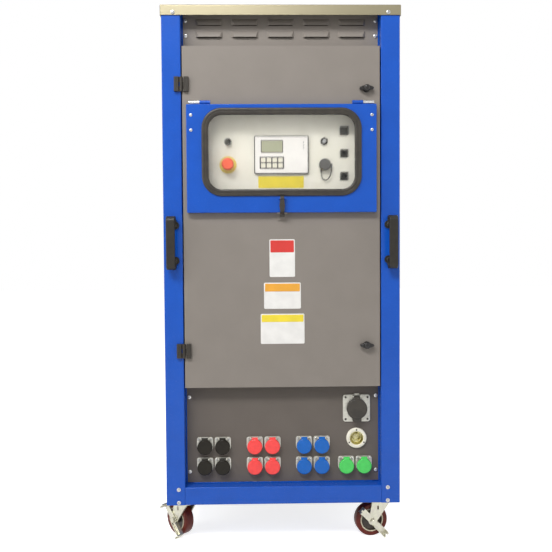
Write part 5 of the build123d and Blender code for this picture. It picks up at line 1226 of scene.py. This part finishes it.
class LOADBANK_OT_controller_face(bpy.types.Operator):
    """Printed film of the controller, its display and the web between its keys"""

    bl_idname = "load_bank.controller_face"
    bl_label = "Controller face"

    # Width, height, corner radius, steps and place of each plate.
    FILM = (159.6, 109.6, 2.4, ((0, 0), (0, 0.15), (0.1, 0.2)), 0, CONTROLLER_FACE_Y, CONTROLLER_Z)
    SURROUND_SECTION = ((-1.4, 0.1), (-1.4, 0.5), (1.2, 0.5), (1.2, 0.1))
    DISPLAY_PLACE = (-28.5, CONTROLLER_FACE_Y, 1216)
    WEB = (74, 37, 2, ((0, 0.1), (0, 0.6), (0.3, 0.8)), -29, CONTROLLER_FACE_Y, 1167)
    LENS = ((1.7, 0), (1.7, 0.6), (1.2, 1.1), (0, 1.3))
    LENS_X, LENS_UPS = 67, (37, 28.5, 20)

    def execute(self, context):
        piece("controller_film", [plate(*self.FILM)], "printed_film", "door")
        surround = bead(65, 36, 1.5, self.SURROUND_SECTION, *self.DISPLAY_PLACE)
        piece("display_surround", [surround], "silicone_mat", "door")
        display = plate(63, 34, 1, ((0, 0.1), (0, 0.3), (0.1, 0.35)), *self.DISPLAY_PLACE)
        piece("display", [display], "lcd_glass", "door")
        piece("key_web", [plate(*self.WEB)], "silicone_mat", "door")
        places = [(self.LENS_X, CONTROLLER_FACE_Y, CONTROLLER_Z + up) for up in self.LENS_UPS]
        lenses = [turned(self.LENS, place, segments=24) for place in places]
        piece("indicator_lenses", lenses, "smoked_lens", "door")
        return {"FINISHED"}


class LOADBANK_OT_gasket(bpy.types.Operator):
    """Rubber section round the window, with its locking groove: it grips the cover and, inside, the pane"""

    bl_idname = "load_bank.gasket"
    bl_label = "Window gasket"

    WINDOW = (454, 240, 50)  # width, height and corner radius
    WINDOW_Z = 1193
    FRONT = (
        (-10, 0), (-10, 2.4), (-9.3, 4.2), (-7.6, 5.5), (-4.8, 6), (-2, 5.8), (-1.2, 5), (1.2, 5), (2, 5.8),
        (4.8, 6), (7.6, 5.5), (9.3, 4.2), (10, 2.4), (10, 0.02),
    )
    SHEET_GRIP = ((0.1, 0.02), (0.1, -2.02), (10, -2.02))
    BACK = ((10, -5.6), (7.6, -8), (-7.6, -8), (-10, -5.6))
    PANE_GRIP = ((-10, -4.02), (-2.1, -4.02), (-2.1, 0))

    def execute(self, context):
        profile = self.FRONT + self.SHEET_GRIP + self.BACK + self.PANE_GRIP
        section = bead(*self.WINDOW, profile, 0, COVER_FACE_Y, self.WINDOW_Z)
        made = piece("window_gasket_section", [section], "epdm_rubber", "cover")
        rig.replaces(made, "window_gasket")
        return {"FINISHED"}


class LOADBANK_OT_labels(bpy.types.Operator):
    """Blank film labels on the door and the control plate"""

    bl_idname = "load_bank.labels"
    bl_label = "Blank labels"

    # Width, height and middle's height of each label on the door, and its band's finish and share of it.
    DOOR_LABELS = {
        "label_upper": (76.6, 113, 878.5, "red_vinyl", 0.32),
        "label_middle": (111, 79, 765.5, "orange_vinyl", 0.3),
        "label_lower": (132, 91, 665.5, "yellow_vinyl", 0.24),
    }
    BORDER = 3  # white film that shows round a band

    def execute(self, context):
        thick = context.scene.load_bank_sizes.label_thickness / MM
        edge = ((0, 0), (0, 0.7 * thick), (0.2, thick))
        for name, (width, height, z, tone, share) in self.DOOR_LABELS.items():
            film = plate(width, height, 4, edge, 0, FRONT_Y, z)
            piece(name, [film], "white_vinyl", "door")
            piece(name + "_band", [self.band(width, height, z, share, thick)], tone, "door")
        film = plate(138.4, 36, 1.5, edge, -1.2, PLATE_Y, 1109.5)
        piece("label_control_plate", [film], "yellow_vinyl", "door")
        return {"FINISHED"}

    def band(self, width, height, z, share, thick):
        """Blank coloured band along the top of a label."""
        band = share * height
        up = (height - band) / 2 - self.BORDER
        edge = ((0, 0), (0, 0.1), (0.1, 0.15))
        return plate(width - 2 * self.BORDER, band, 2, edge, 0, FRONT_Y - thick, z + up)


class LOADBANK_OT_louvre_filter(bpy.types.Operator):
    """Dark pleated pad behind the top louvres, painted shade in their slots: it shuts out the light of the exhaust
    opening
    """

    bl_idname = "load_bank.louvre_filter"
    bl_label = "Louvre shade pad"

    THICKNESS = (3, 7)  # by turns, which makes the pleats
    HEIGHT, CORNER = 57, 0.8
    FOLDS = np.linspace(-285, 285, 115)
    PLACE = (0, -306.5, 1569.5)

    def execute(self, context):
        thickness = np.resize(self.THICKNESS, len(self.FOLDS))
        pleats = [(thick, self.HEIGHT, self.CORNER, fold) for thick, fold in zip(thickness, self.FOLDS)]
        pad = lofted(pleats, *self.PLACE, LENGTHWISE)
        # The pad's charcoal tone paints the shade inside the cabinet behind the slots.
        piece("louvre_shade_pad", [pad], "filter_fleece", "cabinet", sharp=60)
        return {"FINISHED"}


class LOADBANK_OT_latch_domes(bpy.types.Operator):
    """Fluted dome in the middle of each wing knob"""

    bl_idname = "load_bank.latch_domes"
    bl_label = "Latch domes"

    CENTRES = {"upper": (254, -371.5, 1383.0), "lower": (254, -371.5, 614.5)}
    PROFILE = ((1, 0), (1, 1.6), (0.93, 3.4), (0.76, 4.7), (0.5, 5.5), (0.2, 5.8))
    RADIUS, FLUTES, FLUTE_DEPTH = 9.5, 8, 0.05

    def execute(self, context):
        for level, centre in self.CENTRES.items():
            piece(level + "_latch_dome", [self.dome(*centre)], "black_die_casting", level + "_latch")
        return {"FINISHED"}

    def dome(self, x, y, z):
        """radius = RADIUS * share * (1 - FLUTE_DEPTH * cos(FLUTES * t)), with (share, out) of the profile:
        shallow flutes, which run out at the middle."""
        share, out = np.array(self.PROFILE).T
        t = np.linspace(0, TURN, 64, endpoint=False)
        radius = self.RADIUS * share[:, None] * (1 - self.FLUTE_DEPTH * np.cos(self.FLUTES * t))
        depth = np.broadcast_to(y - out[:, None], radius.shape)
        return skin(np.stack([x + radius * np.cos(t), depth, z + radius * np.sin(t)], -1))


class LOADBANK_OT_wheels(bpy.types.Operator):
    """Castor wheels: a maroon tread on an iron core, with a cream rim showing to either side"""

    bl_idname = "load_bank.wheels"
    bl_label = "Castor wheels"

    # Middle of each wheel, and the direction in degrees that its castor trails in.
    WHEELS = {
        "front_left": ((-328.2, -249.3, 50.8), 135.0),
        "front_right": ((277.4, -275.2, 50.8), 189.0),
        "rear_left": ((-307.0, 270.5, 50.8), 90.0),
        "rear_right": ((307.0, 270.5, 50.8), 90.0),
    }
    TREAD = (
        (36.8, -15.2), (45.8, -16), (48.3, -15.3), (50.2, -13.4), (50.8, -11), (50.8, 11), (50.2, 13.4),
        (48.3, 15.3), (45.8, 16), (36.8, 15.2),
    )
    CORE = (
        (5.1, -18.5), (11.5, -18.5), (12.4, -17.6), (13, -6.8), (14, -6), (29.4, -6), (30.6, -6.8),
        (32.8, -15), (36.9, -15), (36.9, 15), (32.8, 15), (30.6, 6.8), (29.4, 6), (14, 6), (13, 6.8),
        (12.4, 17.6), (11.5, 18.5), (5.1, 18.5),
    )
    RIM = ((32.9, 14.7), (33, 15.4), (33.8, 15.9), (35.9, 15.9), (36.7, 15.4), (36.8, 14.7))

    def execute(self, context):
        rims = [[(radius, side * out) for radius, out in self.RIM] for side in (-1, 1)]
        for corner in self.WHEELS:
            made = self.rings(corner, "_tread", [self.TREAD], "maroon_polyurethane")
            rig.replaces(made, corner + "_wheel")
            self.rings(corner, "_core", [self.CORE], "painted_iron")
            self.rings(corner, "_rims", rims, "cream_paint")
        return {"FINISHED"}

    def rings(self, corner, part, profiles, finish):
        """Rings of one finish, turned about the wheel's axle, which is square to the way that it trails."""
        centre, trail = self.WHEELS[corner]
        a = radians(trail - 90)
        axle = (np.cos(a), np.sin(a), 0)
        skins = [turned(profile, centre, axle, segments=96, closed=True) for profile in profiles]
        return piece(corner + part, skins, finish, corner + "_roller")


OPERATORS = (
    LOADBANK_OT_stage,
    LOADBANK_OT_tether,
    LOADBANK_OT_finishes,
    LOADBANK_OT_panel_screws,
    LOADBANK_OT_sockets,
    LOADBANK_OT_outlet,
    LOADBANK_OT_inlet,
    LOADBANK_OT_controls,
    LOADBANK_OT_controller_face,
    LOADBANK_OT_gasket,
    LOADBANK_OT_labels,
    LOADBANK_OT_louvre_filter,
    LOADBANK_OT_latch_domes,
    LOADBANK_OT_wheels,
)


class LOADBANK_PT_panel(bpy.types.Panel):
    """Sizes, light and the pieces in the order that they are made"""

    bl_idname = "LOADBANK_PT_panel"
    bl_label = "Load bank"
    bl_space_type = "VIEW_3D"
    bl_region_type = "UI"
    bl_category = "Load bank"

    def draw(self, context):
        for group in (context.scene.load_bank_sizes, context.scene.load_bank_stage):
            box = self.layout.box()
            for name in group.__annotations__:
                box.prop(group, name)
        for operator in OPERATORS:
            self.layout.operator(operator.bl_idname)


CLASSES = (LoadBankSizes, LoadBankStage, *OPERATORS, LOADBANK_PT_panel)


def register():
    for cls in CLASSES:
        bpy.utils.register_class(cls)
    bpy.types.Scene.load_bank_sizes = PointerProperty(type=LoadBankSizes)
    bpy.types.Scene.load_bank_stage = PointerProperty(type=LoadBankStage)


def unregister():
    del bpy.types.Scene.load_bank_stage
    del bpy.types.Scene.load_bank_sizes
    for cls in reversed(CLASSES):
        bpy.utils.unregister_class(cls)


def main():
    register()
    for operator in OPERATORS:
        module, name = operator.bl_idname.split(".")
        getattr(getattr(bpy.ops, module), name)()
    boxes = {"cad box": cad_box, "visual box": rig.bounds()}
    with open("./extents.json", "w") as f:
        json.dump({name: [list(corner) for corner in box] for name, box in boxes.items()}, f)


if __name__ == "__main__":
    main()
